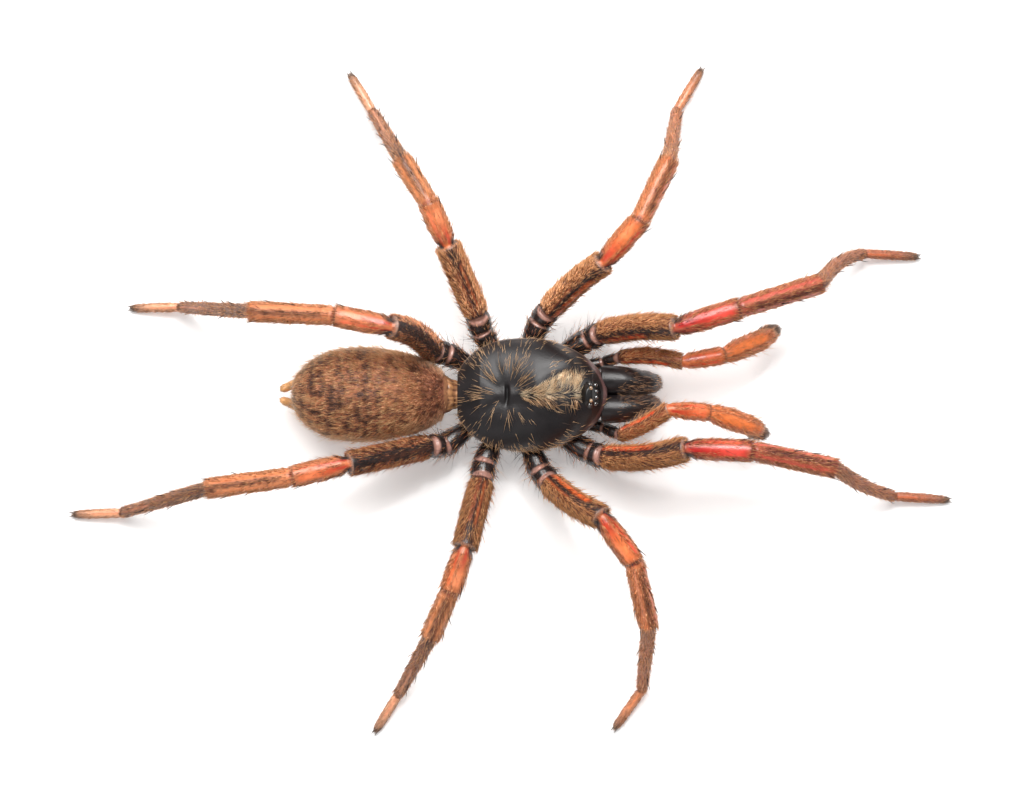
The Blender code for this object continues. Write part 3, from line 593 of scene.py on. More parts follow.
class Coat:
    """Hairs gathered as arrays and made into one mesh: thin three-sided cones, bent on rings."""

    PATCH = 0.0015
    TURNS = [2 * math.pi * k / 3 + math.pi / 2 for k in range(3)]
    CORNERS = [(math.cos(turn), math.sin(turn)) for turn in TURNS]
    ROOT_SHADE = 0.72
    FLOOR_GAP = 0.04

    def __init__(self):
        self.points, self.tints, self.uvs, self.faces = [], [], [], []
        self.total = 0

    def add(self, skin, places, lay, length, radius, lift, bend, colour, rings=2, sink=0.03, strip=(0, 1)):
        """Hairs at places on a skin. lay is their lie and the skin's normals, lift the angle off the
        skin at the root and bend how much of it is lost at the tip, in degrees. colour is the tip's,
        and the root is darker. strip is the coat's part of the map."""
        lie, normal = lay
        root = skin.sample(skin.points, places)
        uv = skin.unwrap(places, *strip)
        count = len(root)
        lift, bend, length, radius = (np.broadcast_to(v, (count,)) for v in (lift, bend, length, radius))
        colour = np.broadcast_to(colour, (count, 3))
        room = np.maximum(root[:, 2] - self.FLOOR_GAP, 0.02)
        fall = -lie[:, 2] * length * 0.9
        length = length * np.minimum(1.0, room / np.maximum(fall, 1e-6))
        side = np.cross(lie, normal)
        centre = root - normal * sink
        points, tints, uvs = [], [], []
        for ring in range(rings):
            share = ring / rings
            angle = np.radians(lift - bend * share)[:, None]
            ahead = lie * np.cos(angle) + normal * np.sin(angle)
            size = (radius * (1 - share) ** 0.6)[:, None]
            upright = np.cross(side, ahead)
            for across, above in self.CORNERS:
                points.append(centre + (side * across + upright * above) * size)
                tints.append(colour * (self.ROOT_SHADE + (1 - self.ROOT_SHADE) * share))
                uvs.append(uv + np.array((across, above)) * self.PATCH * (1 - share))
            centre = centre + ahead * (length / rings)[:, None]
        points.append(centre)
        tints.append(colour)
        uvs.append(uv)
        tip = 3 * rings
        template = [(2, 1, 0)]
        for low, corner in itertools.product(range(0, tip, 3), range(3)):
            here, beside = low + corner, low + (corner + 1) % 3
            if low + 3 == tip:
                template.append((here, beside, tip))
            else:
                template += [(here, beside, beside + 3), (here, beside + 3, here + 3)]
        starts = self.total + np.arange(count)[:, None, None] * (tip + 1)
        self.faces.append((starts + np.array(template)[None]).reshape(-1, 3))
        for rows, made in ((self.points, points), (self.tints, tints), (self.uvs, uvs)):
            rows.append(np.stack(made, axis=1).reshape(-1, made[0].shape[1]))
        self.total += count * (tip + 1)

    def fuzz(self, skin, density, rng, comb, shade, shades, lengths, *shape):
        """Plain hair of one colour. comb is its way along the skin and its scatter, and shape is what
        follows the length in add, without the colour."""
        places = skin.scatter(density, rng)
        lay = skin.comb(places, comb[0], 0.0, rng, comb[1])
        shade = tone(*shade) * rng.uniform(*shades, (len(places[0]), 1))
        length = rng.uniform(*lengths, len(places[0]))
        self.add(skin, places, lay, length, *shape[:3], shade, *shape[3:])

    def piece(self, name, slot, finish="hair"):
        tints = {"tint": np.concatenate(self.tints)}
        points, faces, uv = (np.concatenate(rows) for rows in (self.points, self.faces, self.uvs))
        add_piece(name, write_mesh(name, points, [faces], tints, uv), finish)


# Limbs


def limb_skin(joints, bows, shape, side, stripes):
    """A tube through the joints. Its fields are the segment, the share along it, the angle round it
    in degrees from the top towards the front face, the distance from the root, how bare it is and
    the colour of its bare stripes."""
    line_step, line_smoothing, heading_smoothing = 0.02, 0.12, 0.28
    lines, line_places, places, segments, shares = [], [], [], [], []
    ends = [0.0]
    for index, (start, end) in enumerate(zip(joints, joints[1:])):
        length = float(np.linalg.norm(end - start))
        share = np.linspace(0, 1, int(length / line_step), endpoint=False)
        bow = bows.get(index, np.zeros(3))
        lines.append(start + (end - start) * share[:, None] + bow * np.sin(math.pi * share)[:, None])
        line_places.append(ends[-1] + share * length)
        knots = [place for place, _ in shape[index][0]]
        even = np.linspace(0, 1, max(4, round(length / RING_STEP)), endpoint=False)
        share = np.unique(np.round(np.concatenate((even, knots)), 4))
        share = share[share < 0.9995]
        share = share[np.concatenate(((True,), np.diff(share) * length > 0.02))]
        places.append(ends[-1] + share * length)
        segments.append(np.full(len(share), index))
        shares.append(share)
        ends.append(ends[-1] + length)
    line = np.concatenate((*lines, joints[-1][None]))
    line_place = np.concatenate((*line_places, ends[-1:]))
    place = np.concatenate((*places, ends[-1:]))
    segment = np.concatenate((*segments, (len(shape) - 1,)))
    share = np.concatenate((*shares, (1.0,)))

    even_place = np.arange(0, ends[-1] + line_step, line_step)
    line = rolled(rows_at(even_place, line_place, line), line_smoothing, line_step)
    ahead = rolled(np.gradient(line, axis=0), heading_smoothing, line_step)
    centre = rows_at(place, even_place, line)
    ahead = unit(rows_at(place, even_place, unit(ahead)))

    sizes = [(read(shape[i][0], s), *shape[i][1:]) for i, s in zip(segment, share)]
    profile, half_width, ratio, coat_depth = np.transpose(sizes)
    segment, angle = np.meshgrid(segment, degrees_round(LIMB_SIDES), indexing="ij")
    share, place = (np.repeat(row[:, None], LIMB_SIDES, axis=1) for row in (share, place))
    bare, colour = stripe_marks(stripes, segment, share, angle)
    half_width = (half_width * profile - coat_depth)[:, None] * (1 - 0.03 * bare)
    points = sweep(centre, ahead, half_width, half_width * ratio[:, None], np.radians(angle), side)
    points[..., 2] = np.maximum(points[..., 2], 0.01)
    fields = {"segment": segment, "share": share, "angle": angle, "place": place}
    skin = Skin(points, bare=bare, colour=colour, **fields)
    skin.ends = ends
    return skin


def stripe_marks(stripes, segment, share, angle):
    """How bare a limb is, and the colour that its bare stripes give it."""
    bare = np.zeros(share.shape)
    colour = np.zeros((*share.shape, 3))
    for where, centre, half, start, end, seen in stripes:
        shade = tone(*seen)
        if where == PATELLA:
            # A lens, narrow and red towards the body and orange further out, with a painted highlight: a
            # lighter spot at about 0.7 of its length
            light = np.minimum(1.0, shade * 1.35 + 0.03)
            shade = mix(shade * np.array((0.66, 0.26, 0.36)), shade * 0.88, ease(0.1, 0.6, share))
            shade = mix(shade, light, 0.6 * band(share, 0.7, 0.14, 0.13))
            half = half * (0.5 + 0.5 * ease(0.0, 0.5, share))
        here = (segment == where) * band(angle, centre, half, 5.0)
        here = here * ease(start - 0.02, start + 0.05, share) * (1 - ease(end - 0.08, end, share))
        colour = np.where((here > bare)[..., None], shade, colour)
        bare = np.maximum(bare, here)
    return bare, colour


def crescent(skin, joint, middle, width, reach):
    """The membrane on top of a joint: a lens, widest at the top and gone at reach degrees."""
    f = skin.fields
    place = f["place"] - skin.ends[joint] - middle
    half = width / 2 * np.cos(np.clip(f["angle"] / reach, -1, 1) * math.pi / 2)
    return (1 - ease(half * 0.6, half + 0.05, np.abs(place))) * (np.abs(f["angle"]) < reach)


# Bare glossy stripes on the leg segments, one list a pair: the segment, where the stripe is round
# the leg in degrees and its half-width, where it starts and ends along the segment, and its colour
STRIPES = {
    1: (
        (FEMUR, 58, 17, 0.03, 0.7, (232, 84, 38)),
        (PATELLA, -6, 27, 0.03, 0.94, (214, 62, 46)),
        (PATELLA, 46, 8, 0.0, 0.85, (222, 84, 48)),
        (TIBIA, -26, 9, 0.02, 0.93, (200, 86, 68)),
        (TIBIA, 58, 10, 0.0, 0.95, (216, 84, 52)),
        (TARSUS, 0, 12, 0.0, 0.45, (196, 104, 66)),
    ),
    2: (
        (FEMUR, 4, 6, 0.03, 0.6, (172, 88, 50)),
        (FEMUR, 54, 15, 0.03, 0.85, (238, 106, 46)),
        (PATELLA, -8, 27, 0.03, 0.94, (236, 118, 62)),
        (PATELLA, 44, 8, 0.0, 0.9, (220, 70, 42)),
        (TIBIA, -14, 7, 0.05, 0.9, (204, 128, 94)),
        (TIBIA, 60, 9, 0.05, 0.95, (226, 104, 58)),
        (TARSUS, 0, 16, 0.0, 0.5, (222, 134, 88)),
    ),
    3: (
        (FEMUR, -12, 6, 0.08, 0.75, (172, 88, 50)),
        (FEMUR, 18, 5, 0.1, 0.8, (172, 88, 50)),
        (PATELLA, 20, 18, 0.02, 0.88, (228, 130, 84)),
        (PATELLA, -26, 10, 0.02, 0.88, (226, 110, 60)),
        (TIBIA, 30, 9, 0.05, 0.9, (216, 138, 90)),
        (TIBIA, -34, 9, 0.05, 0.9, (212, 130, 82)),
        (METATARSUS, 0, 10, 0.5, 0.98, (200, 134, 100)),
        (TARSUS, 0, 18, 0.0, 0.65, (224, 150, 114)),
    ),
    4: (
        (FEMUR, 12, 5, 0.1, 0.7, (120, 68, 44)),
        (PATELLA, 16, 19, 0.02, 0.92, (230, 116, 68)),
        (PATELLA, -28, 10, 0.02, 0.9, (224, 98, 54)),
        (TIBIA, 24, 10, 0.03, 0.9, (216, 132, 84)),
        (TIBIA, -32, 9, 0.03, 0.9, (214, 124, 76)),
        (METATARSUS, 0, 9, 0.6, 0.98, (184, 118, 88)),
        (TARSUS, 0, 18, 0.0, 0.65, (224, 146, 108)),
    ),
}
PALP_STRIPES = (
    (FEMUR, 56, 18, 0.05, 0.85, (232, 84, 38)),
    (PATELLA, -14, 22, 0.03, 0.9, (218, 98, 52)),
    (PATELLA, 38, 9, 0.0, 0.85, (224, 80, 44)),
    (TIBIA, -8, 26, 0.02, 0.8, (230, 124, 66)),
)
# Cuticle under the hair: coxa and trochanter of every leg, and the other segments by pair
LEG_BASE = ((30, 22, 22), (34, 24, 23))
CUTICLE = {
    1: (*LEG_BASE, (104, 56, 36), (172, 76, 50), (178, 86, 60), (168, 92, 58), (174, 98, 68)),
    2: (*LEG_BASE, (100, 56, 36), (196, 104, 60), (206, 118, 72), (184, 106, 64), (212, 138, 100)),
    3: (*LEG_BASE, (92, 54, 38), (196, 112, 68), (200, 124, 80), (150, 98, 70), (230, 168, 130)),
    4: (*LEG_BASE, (54, 38, 32), (206, 118, 76), (214, 130, 84), (134, 92, 70), (234, 168, 128)),
}
PALP_CUTICLE = ((30, 23, 22), (36, 27, 25), (150, 80, 46), (206, 108, 60), (214, 116, 64))
DARK_MARK = (44, 32, 30)
MEMBRANE = (176, 130, 116)
RIM = (156, 118, 100)
BLACK_HAIR = tone(26, 20, 20)
DARK_HAIR = tone(46, 32, 29)
BROWN_HAIR = tone(164, 90, 54)
GOLD_HAIR = tone(255, 178, 116)
GREY_HAIR = tone(150, 120, 104)
# Short hair by segment: hairs per square mm, length, lift in degrees, radius
LEG_HAIR = (
    (26, 0.5, 22, 0.017),
    (22, 0.45, 24, 0.017),
    (210, 0.52, 12, 0.016),
    (100, 0.46, 11, 0.015),
    (150, 0.44, 11, 0.015),
    (230, 0.38, 14, 0.014),
    (300, 0.26, 14, 0.0125),
)
PALP_HAIR = (
    (20, 0.4, 20, 0.016),
    (22, 0.4, 22, 0.016),
    (210, 0.42, 12, 0.015),
    (110, 0.38, 12, 0.015),
    (150, 0.38, 13, 0.015),
)
# Longer hair that stands off: hairs per square mm, length, lift, radius
LEG_GUARD = (
    (7, 0.8, 50, 0.013),
    (9, 0.8, 52, 0.013),
    (16, 0.7, 34, 0.013),
    (10, 0.6, 32, 0.012),
    (12, 0.62, 32, 0.012),
    (13, 0.56, 40, 0.011),
    (14, 0.36, 34, 0.01),
)
# Black spines of the outer segments: share along the segment, degrees round it from the top
SPINES = {
    PATELLA: ((0.8, 75),),
    TIBIA: ((0.42, 62), (0.7, 80), (0.88, -58), (0.8, 150), (0.5, 130), (0.62, -110)),
    METATARSUS: (
        *((0.2, 55), (0.45, -60), (0.72, 48), (0.9, -120)),
        *((0.3, -70), (0.35, 85), (0.6, 95), (0.88, 110)),
    ),
}
# A spine's length, lift in degrees and radius
SPINE = (0.95, 24, 0.042)
# Long black bristles: segment, how many, length, lift in degrees
BRISTLES = ((COXA, 26, 1.1, 55), (TROCHANTER, 18, 1.0, 58), (FEMUR, 24, 0.85, 38), (PATELLA, 8, 0.7, 30))
BRISTLE_RADIUS = 0.014


def leg_joints(leg):
    """Joint points of a leg from the coxa's root to the tip of the tarsus."""
    number = int(leg[1])
    (x, y), headings, heights = KNEE_POSE[leg]
    root_x, root_y = COXA_ROOT[number]
    root = (root_x, SIDES[leg[0]] * root_y, COXA_ROOT_HEIGHT)
    joints = [np.array(root), np.array((x, y, COXA_END_HEIGHT))]
    for length, heading, height in zip(LEG_LENGTHS[number], headings, (*heights, FOOT_HEIGHT)):
        drop = height - joints[-1][2]
        level = math.sqrt(length * length - drop * drop)
        turn = math.radians(heading)
        joints.append(joints[-1] + np.array((level * math.cos(turn), level * math.sin(turn), drop)))
    return joints


def limb_tint(skin, cuticle, size, seed, dark):
    """Cuticle by segment, cloudy, with its dark marks and bare stripes."""
    f = skin.fields
    f["dark"] = dark
    tint = np.array([tone(*shade) for shade in cuticle])[f["segment"]]
    tint = tint * (0.8 + 0.4 * cloud(skin.points, size, seed))[..., None]
    return mix(paint(tint, (DARK_MARK, dark)), f["colour"], f["bare"])


def joint_marks(skin, first_width, second_width, second_reach):
    """The pale membranes at both ends of the trochanter, and the thin pale edge at the end of the
    femur, on one ring of the skin."""
    f = skin.fields
    second = crescent(skin, 2, 0.02, second_width, second_reach)
    pale = np.maximum(crescent(skin, 1, 0.0, first_width, 70), second)
    rim = (f["segment"] == FEMUR) * (np.abs(f["share"] - 0.99) < 0.006) * (np.abs(f["angle"]) < 100)
    return pale, rim


def leg_markings(skin, number):
    """Tints a leg's skin, and returns where it is bare and the share of golden hair."""
    f = skin.fields
    segment, share, angle = f["segment"], f["share"], f["angle"]
    base = segment <= TROCHANTER
    femur, patella, tibia, metatarsus, tarsus = (segment == k for k in range(FEMUR, TARSUS + 1))
    front_pairs = number < 3
    # The dark band beside the front stripe, and the dark ends of femur, patella and metatarsus
    middle = band(angle, 22, 19, 8) if front_pairs else band(angle, 2, 22, 10)
    corner = ease(22, 40, np.abs(angle - (2 if front_pairs else -2)))
    dark = (
        middle * femur * 0.9,
        middle * tibia * (0.6 * ease(0.0, 0.2, share)),
        patella * (1 - ease(0.06, 0.2, share)) * corner,
        patella * ease(0.93, 0.97, share) * 0.7,
        femur * (1 - ease(0.0, 0.12, share)) * 0.8,
        metatarsus * (1 - ease(0.0, 0.35, share)) * (0.4 if front_pairs else 0.6),
        tarsus * (1 - ease(0.01, 0.04, share)) * 0.6,
        crescent(skin, 1, 0.0, 0.5, 88),
        crescent(skin, 2, 0.02, 0.86, 88),
    )
    tint = limb_tint(skin, CUTICLE[number], 0.5, 11, np.maximum.reduce(dark))
    under = ease(95, 130, np.abs(angle)) * (segment >= FEMUR)
    tint = mix(tint, tint * 1.2 + tone(70, 44, 36) * 0.4, under)
    pale, rim = joint_marks(skin, 0.3, 0.6, 72)
    seam = crescent(skin, 4, 0.03, 0.12, 50)
    tint = paint(tint, (MEMBRANE, pale), (RIM, rim), ((130, 40, 36), seam * 0.8))
    tint = paint(tint, ((116, 92, 80), tarsus * ease(0.5, 1.0, share) * 0.8))
    skin.dress(tint, np.where(base, 0.27, 0.46 - 0.16 * f["bare"]))
    golden_femur, loss = (0.95, 0.75) if front_pairs else (0.7 if number == 3 else 0.28, 0.25)
    gold = np.select(
        (base, femur, patella, tibia),
        (
            0.45,
            golden_femur - loss * middle,
            0.75 - 0.6 * (1 - ease(0.05, 0.25, share)),
            0.88 - 0.55 * middle,
        ),
        0.62 if front_pairs else 0.5,
    )
    return np.maximum.reduce((f["bare"], 0.4 * base, pale, rim, seam, 0.5 * middle * femur)), gold


def limb_hair(coat, skin, kinds, guards, bare, gold, rng):
    """Short hair lying along a limb, and a few longer hairs that stand off."""
    f = skin.fields
    edge_loss = 1 - 0.4 * ease(105, 140, np.abs(f["angle"]))
    for table, rings, bend in ((kinds, 1, 0), (guards, 2, 18)):
        density, lengths, lifts, radii = np.transpose(table)
        places = skin.scatter(density[f["segment"]] * (1 - 0.94 * bare) * edge_loss, rng)
        root = places[:2]
        segment = f["segment"][root]
        splay = np.clip(f["angle"][root] / 90, -1, 1) * np.where(segment == FEMUR, 0.4, 0.2)
        lay = skin.comb(places, 1.0, splay, rng)
        count = len(segment)
        golden = rng.random(count) < gold[root] * (1.0 if rings == 1 else 0.8)
        sooty = rng.random(count) < 0.15 + 0.75 * f["dark"][root]
        shade = np.where(sooty[:, None], DARK_HAIR, BROWN_HAIR)
        shade = mix(shade, GREY_HAIR, (segment == METATARSUS) * 0.2 + (segment == TARSUS) * 0.45)
        ground = mix(GOLD_HAIR, skin.tint[root] * 1.8, np.where(segment == FEMUR, 0.05, 0.2))
        shade = np.where(golden[:, None], ground, shade)
        # Light and dark streaks along the lie, and some thicker golden locks
        lock = golden & (rng.random(count) < 0.3)
        arc = np.radians(skin.sample(f["angle"], places)) * 0.6
        flow = np.stack((skin.sample(f["place"], places) * 0.3, arc, segment), axis=-1)
        light = (0.64 + 1.5 * ease(0.3, 0.7, cloud(flow, 0.1, 19))) * rng.uniform(0.7, 1.25, count)
        # Painted rim light: golden hairs where the skin faces sideways, along the limb's outline, are made
        # lighter
        light += 0.5 * golden * ease(0.5, 0.1, np.abs(lay[1][:, 2]))
        light *= np.where(segment >= METATARSUS, 0.88, 1.0)
        shade = lit(shade, np.where(lock, 2.0, light))
        length = lengths[segment] * rng.uniform(0.7, 1.25, count) * np.where(lock, 1.25, 1.0)
        length *= 1 - 0.6 * (segment == FEMUR) * ease(0.88, 0.97, f["share"][root])
        lift = lifts[segment] * rng.uniform(0.5, 1.5, count)
        radius = radii[segment] * np.where(lock, 1.6, 1.0)
        coat.add(skin, places, lay, length, radius, lift, bend, shade, rings)


def spines_and_bristles(coat, skin, part, rng):
    """Adds one leg's black spines and long bristles to a coat."""
    f = skin.fields
    rows = []
    for where, spines in SPINES.items():
        rows += [(where, share + rng.normal(0, 0.02), turn, *SPINE) for share, turn in spines]
    for where, count, length, lift in BRISTLES:
        for _ in range(count):
            size = length * rng.uniform(0.6, 1.3)
            place = (rng.uniform(0.1, 0.95), rng.uniform(-115, 115))
            rows.append((where, *place, size, lift, BRISTLE_RADIUS))
    where, share, turn, length, lift, radius = np.transpose(rows)
    shares, segments = f["share"][:, 0], f["segment"][:, 0]
    ring = np.array([np.argmin(np.abs(shares - s) + 10 * (segments != w)) for w, s in zip(where, share)])
    side = ((turn + 180) / 360 * LIMB_SIDES - 0.5).astype(int) % LIMB_SIDES
    middle = np.full(len(rows), 0.5)
    places = (np.minimum(ring, len(skin.points) - 2), side, middle, middle)
    lay = skin.comb(places, 1.0, 0.0, rng, 0.2)
    lift = lift * rng.uniform(0.7, 1.2, len(rows))
    coat.add(skin, places, lay, length, radius, lift, 26, BLACK_HAIR, 3, 0.05, (part, len(KNEE_POSE)))


def make_leg(leg, rng):
    number = int(leg[1])
    joints = leg_joints(leg)
    left_of = [unit(np.cross(UP, unit(b - a))) for a, b in zip(joints, joints[1:])]
    bows = {
        FEMUR: UP * FEMUR_BOW + left_of[FEMUR] * FEMUR_SIDE_BOW.get(leg, 0.0),
        METATARSUS: left_of[METATARSUS] * METATARSUS_SIDE_BOW.get(leg, 0.0),
    }
    skin = limb_skin(joints, bows, LEG_SHAPE, SIDES[leg[0]], STRIPES[number])
    bare, gold = leg_markings(skin, number)
    nodes = [f"leg_{leg}_{label}" for label in ("femur", "tibia", "tarsus")]
    skin_piece(f"leg_{leg}_skin", [skin], "leg", "leg_orange", *nodes)
    coat = Coat()
    limb_hair(coat, skin, LEG_HAIR, LEG_GUARD, bare, gold, rng)
    # Dense grey hair round the tip of the tarsus, past the roots of the claws
    tuft = 360 * (skin.fields["segment"] == TARSUS) * ease(0.82, 0.96, skin.fields["share"])
    coat.fuzz(skin, tuft, rng, (1.0, 0.2), (158, 132, 116), (0.5, 1.3), (0.22, 0.42), 0.012, 14, 10)
    coat.piece(f"leg_{leg}_coat", "leg_orange")
    return skin


def make_claws():
    """Two curved claws at the end of every tarsus."""
    skins = []
    share = np.linspace(0, 1, 9)[:, None]
    radii = 0.05 * (1 - share[:, 0] ** 1.6) + 0.008
    for leg, side in itertools.product(KNEE_POSE, (-1, 1)):
        joints = leg_joints(leg)
        level = unit((joints[-1] - joints[-2]) * np.array((1.0, 1.0, 0.0)))
        beside = np.cross(UP, level)
        root = joints[-1] - level * 0.15 + beside * 0.06 * side + UP * 0.04
        line = root + level * 0.5 * share + beside * side * 0.06 * np.sin(share * 2)
        line = line + UP * (0.1 * np.sin(share * math.pi * 0.8) - 0.14 * share**2)
        skins.append(tube(line, radii, 8, tone(112, 98, 90), 0.35))
    skin_piece("claws", skins, "claw", "leg_foot")


# Carapace


def carapace_loss(x):
    return outline_loss(x, CARAPACE_REAR - 0.25, CARAPACE_WIDEST, CARAPACE_FRONT + 0.05, (2.6, 1.7))


def carapace_half_width(x):
    return CARAPACE_HALF_WIDTH * np.sqrt(1 - carapace_loss(x))


def carapace_edge(x, y):
    """0 in the middle and 1 at the outline."""
    return np.sqrt(carapace_loss(x) + (y / CARAPACE_HALF_WIDTH) ** 2)


def fovea(x, y):
    """1 in the slit across the middle, which curves and thins out to the right."""
    bent = x - FOVEA_X - 0.08 + 0.1 * (y - 0.15) ** 2
    width = 0.04 + 0.045 * ease(-0.9, 0.1, y)
    return bell(bent, width) * ease(-0.8, -0.15, y) * (1 - ease(0.3, 0.7, y))


# Furrows that run out from the fovea: direction in degrees from the front, start and end of the
# reach, depth and width
FURROWS = (
    (26, 1.2, 5.4, 0.13, 0.42),
    (50, 0.9, 2.4, 0.04, 0.28),
    (78, 0.7, 2.7, 0.06, 0.32),
    (108, 0.7, 2.6, 0.06, 0.32),
    (140, 0.6, 2.4, 0.06, 0.3),
)


def carapace_top(x, y):
    """Height of the carapace: a dome with the raised caput, the fovea's pit and radial furrows."""
    across = np.minimum(1.0, np.abs(y) / np.maximum(carapace_half_width(x), 1e-6))
    dome = read(CARAPACE_RISE, x) * (1 - across**2.4) ** 0.6
    caput = ease(CAPUT[0] - 0.8, CAPUT[0] + 0.8, x) * (1 - ease(CAPUT[1] - 0.5, CAPUT[1] + 0.3, x))
    ridge = CAPUT_RISE * caput * np.exp(-((y / CAPUT_HALF_WIDTH) ** 4))
    dx, dy = x - FOVEA_X, np.abs(y)
    furrow = 0.0
    for degrees, start, end, depth, width in FURROWS:
        turn = math.radians(degrees)
        aside = dy * math.cos(turn) - dx * math.sin(turn)
        ahead = dx * math.cos(turn) + dy * math.sin(turn)
        reach = ease(0.1, start, ahead) * (1 - ease(end * 0.5, end, ahead))
        furrow = furrow + depth * reach * bell(aside, width)
    furrow = furrow * (1 - ease(0.75, 1.0, across))
    hollow = 0.06 * bell(x - FOVEA_X, 0.6) * bell(y, 0.9)
    return CARAPACE_RIM + RIM_THICKNESS + dome + ridge - furrow - hollow - FOVEA_DEPTH * fovea(x, y)


def make_carapace(rng):
    rings, across_count, under_count = 190, 120, 12
    x = CARAPACE_REAR + 0.015 + (CARAPACE_FRONT - CARAPACE_REAR - 0.03) * dense_ends(rings)[:, None]
    half = carapace_half_width(x)
    y = half * -np.cos(np.linspace(0, 1, across_count) * math.pi)[None]
    top = grid_of(x, y, carapace_top(x, y))
    top[..., 2] += 0.035 * band(carapace_edge(x, y), 0.975, 0.012, 0.012)
    low = grid_of(x, half * np.linspace(0.96, -0.96, under_count), CARAPACE_RIM + 0.02)
    points = np.concatenate((top, low), axis=1)
    x, y = points[..., 0], points[..., 1]
    edge = carapace_edge(x, y)
    grain = cloud(points, 0.6, 5)
    clypeus = band(edge, 0.968, 0.022, 0.007) * (x > 4.4) * (1 - ease(1.8, 2.3, np.abs(y)))
    # Painted shade: the fovea's slit is painted near black, and made rough
    pit = fovea(x, y)
    tint = paint(
        tone(19, 14, 16) * (0.6 + 0.8 * grain)[..., None],
        ((46, 34, 30), ease(0.88, 0.97, edge) * 0.6),
        ((140, 114, 98), band(edge, 0.994, 0.006, 0.005) * 0.6),
        ((106, 78, 76), clypeus * 0.85),
        ((6, 5, 5), pit),
    )
    skin = Skin(points, tint, 0.37 + 0.12 * grain + 0.4 * pit)
    skin_piece("carapace_shell", [skin], "shell", "shell", "carapace")
    coat = Coat()
    on_top = np.zeros(x.shape)
    on_top[:, 2 : across_count - 2] = 1.0
    carapace_gold(coat, skin, on_top, rng)
    # Long black bristles round the rear and the sides
    places = skin.scatter(on_top * ease(0.9, 0.96, edge) * (1 - ease(0.5, 2.5, x)) * 9, rng)
    outward = unit(skin.sample(points, places) * np.array((1.0, 1.0, 0.0)))
    lay = skin.lay(places, outward, rng, 0.35)
    coat.add(skin, places, lay, rng.uniform(0.5, 1.1, len(outward)), 0.013, 42, 34, BLACK_HAIR, 3, 0.02)
    coat.piece("carapace_coat", "shell")


# Half-width of the golden patch on the caput, on the left and on the right of the midline
CAPUT_LEFT = ((0.25, 0.1), (1.3, 0.24), (1.8, 0.44), (2.3, 0.68), (2.9, 0.97), (3.5, 1.13), (4.5, 1.1))
CAPUT_RIGHT = ((0.25, 0.14), (1.3, 0.42), (2.3, 0.58), (3.0, 0.72), (4.5, 0.6))


def carapace_gold(coat, skin, on_top, rng):
    """Golden hair fanning over the caput, lines of it out from the fovea, and a fringe at the rim."""
    points = skin.points
    x, y = points[..., 0], points[..., 1]
    out = np.hypot(x - FOVEA_X, y)
    turn = np.degrees(np.arctan2(y, x - FOVEA_X))
    spread = np.where(y > 0, read(CAPUT_LEFT, x), read(CAPUT_RIGHT, x))
    caput = ease(0.15, 0.6, x) * (1 - ease(4.35, 4.6, x))
    caput = caput * (1 - ease(spread * 0.85, spread * 1.1, np.abs(y)))
    patch = cloud(points * np.array((1.0, 0.6, 0.0)), 0.35, 23)
    # Painted shade: the caput's hair is sparser on its right half, the side away from the key lamp, more so
    # towards the front and away from the midline
    right = (0.75 - 0.45 * ease(1.6, 3.0, x)) * (1 - ease(0.15, 0.6, -y) * 0.5)
    caput = caput * (0.35 + 0.9 * ease(0.3, 0.6, patch)) * np.where(y > -0.1, 1.0, right)
    streak = cloud(grid_of(turn / 8, out * 0.3, 0.0), 1.0, 21)
    near = ease(0.3, 0.5, out) * (1 - ease(1.3, 1.9, out)) * ease(0.35, 0.6, streak)
    near = near * (np.abs(turn) > 18)
    clump = ease(0.55, 0.7, cloud(points, 0.8, 22)) * (1 - ease(3.0, 3.6, out) * (x > 1))
    margin = ease(0.8, 0.93, carapace_edge(x, y)) * (1 - ease(2.5, 4.0, x)) * (0.4 + 0.6 * (y < 0))
    density = on_top * (330 * caput + 24 * near + 16 * clump * (x < 3.2) + 26 * margin + 1.2)
    # None on the eyes' mound or in the fovea
    density *= 1 - band(x, 4.85, 0.6, 0.05) * (np.abs(y) < 0.95)
    density *= 1 - band(x, FOVEA_X + 0.05, 0.2, 0.05) * band(y, 0.1, 0.85, 0.1)
    places = skin.scatter(density, rng)
    here = skin.sample(points, places)
    x, y = here[:, 0], here[:, 1]
    count = len(x)
    steep = np.radians(np.interp(x, (0.4, 2.0, 3.2), (12, 50, 78))) * np.clip(np.abs(y) / 0.25, 0.2, 1)
    fan = grid_of(np.cos(steep), np.sign(y) * np.sin(steep), 0.0)
    on_caput = skin.sample(caput, places) > 0.15
    heading = np.where(on_caput[:, None], fan, unit(grid_of(x - FOVEA_X, y, 0.0)))
    lay = skin.lay(places, heading, rng, 0.18)
    # Painted light and shade: the caput's hairs left of the midline, towards the key lamp, get a paler tone
    # and are made lighter, and those on its right half are made darker
    painted_lit_side = on_caput & (y > -0.15)
    shade = np.where(painted_lit_side[:, None], tone(255, 214, 166), tone(255, 204, 152))
    shade = np.where(rng.random((count, 1)) < 0.1, tone(80, 56, 46), shade)
    light = 0.55 + 1.4 * ease(0.3, 0.7, cloud(here * np.array((1.0, 0.3, 0.0)), 0.1, 25))
    light = np.where(painted_lit_side, light * 1.5, np.where(on_caput, light * 0.8, 1.2))
    shade = lit(shade, light * rng.uniform(0.7, 1.3, count))
    length = rng.uniform(0.4, 0.8, count) * (1 + 0.6 * skin.sample(near, places))
    coat.add(skin, places, lay, length, 0.0145, rng.uniform(4, 14, count), 14, shade, 3, 0.02)


# Eyes of one side: x, distance from the midline, half-length, half-width, finish
EYES = {
    "front_side": (5.1, 0.55, 0.15, 0.13, "eye_clear"),
    "rear_side": (4.76, 0.6, 0.13, 0.11, "eye_clear"),
    "front_middle": (5.14, 0.18, 0.13, 0.13, "eye_clear"),
    "rear_middle": (4.83, 0.37, 0.11, 0.12, "eye_amber"),
}
EYE_HALF_HEIGHT = 0.13


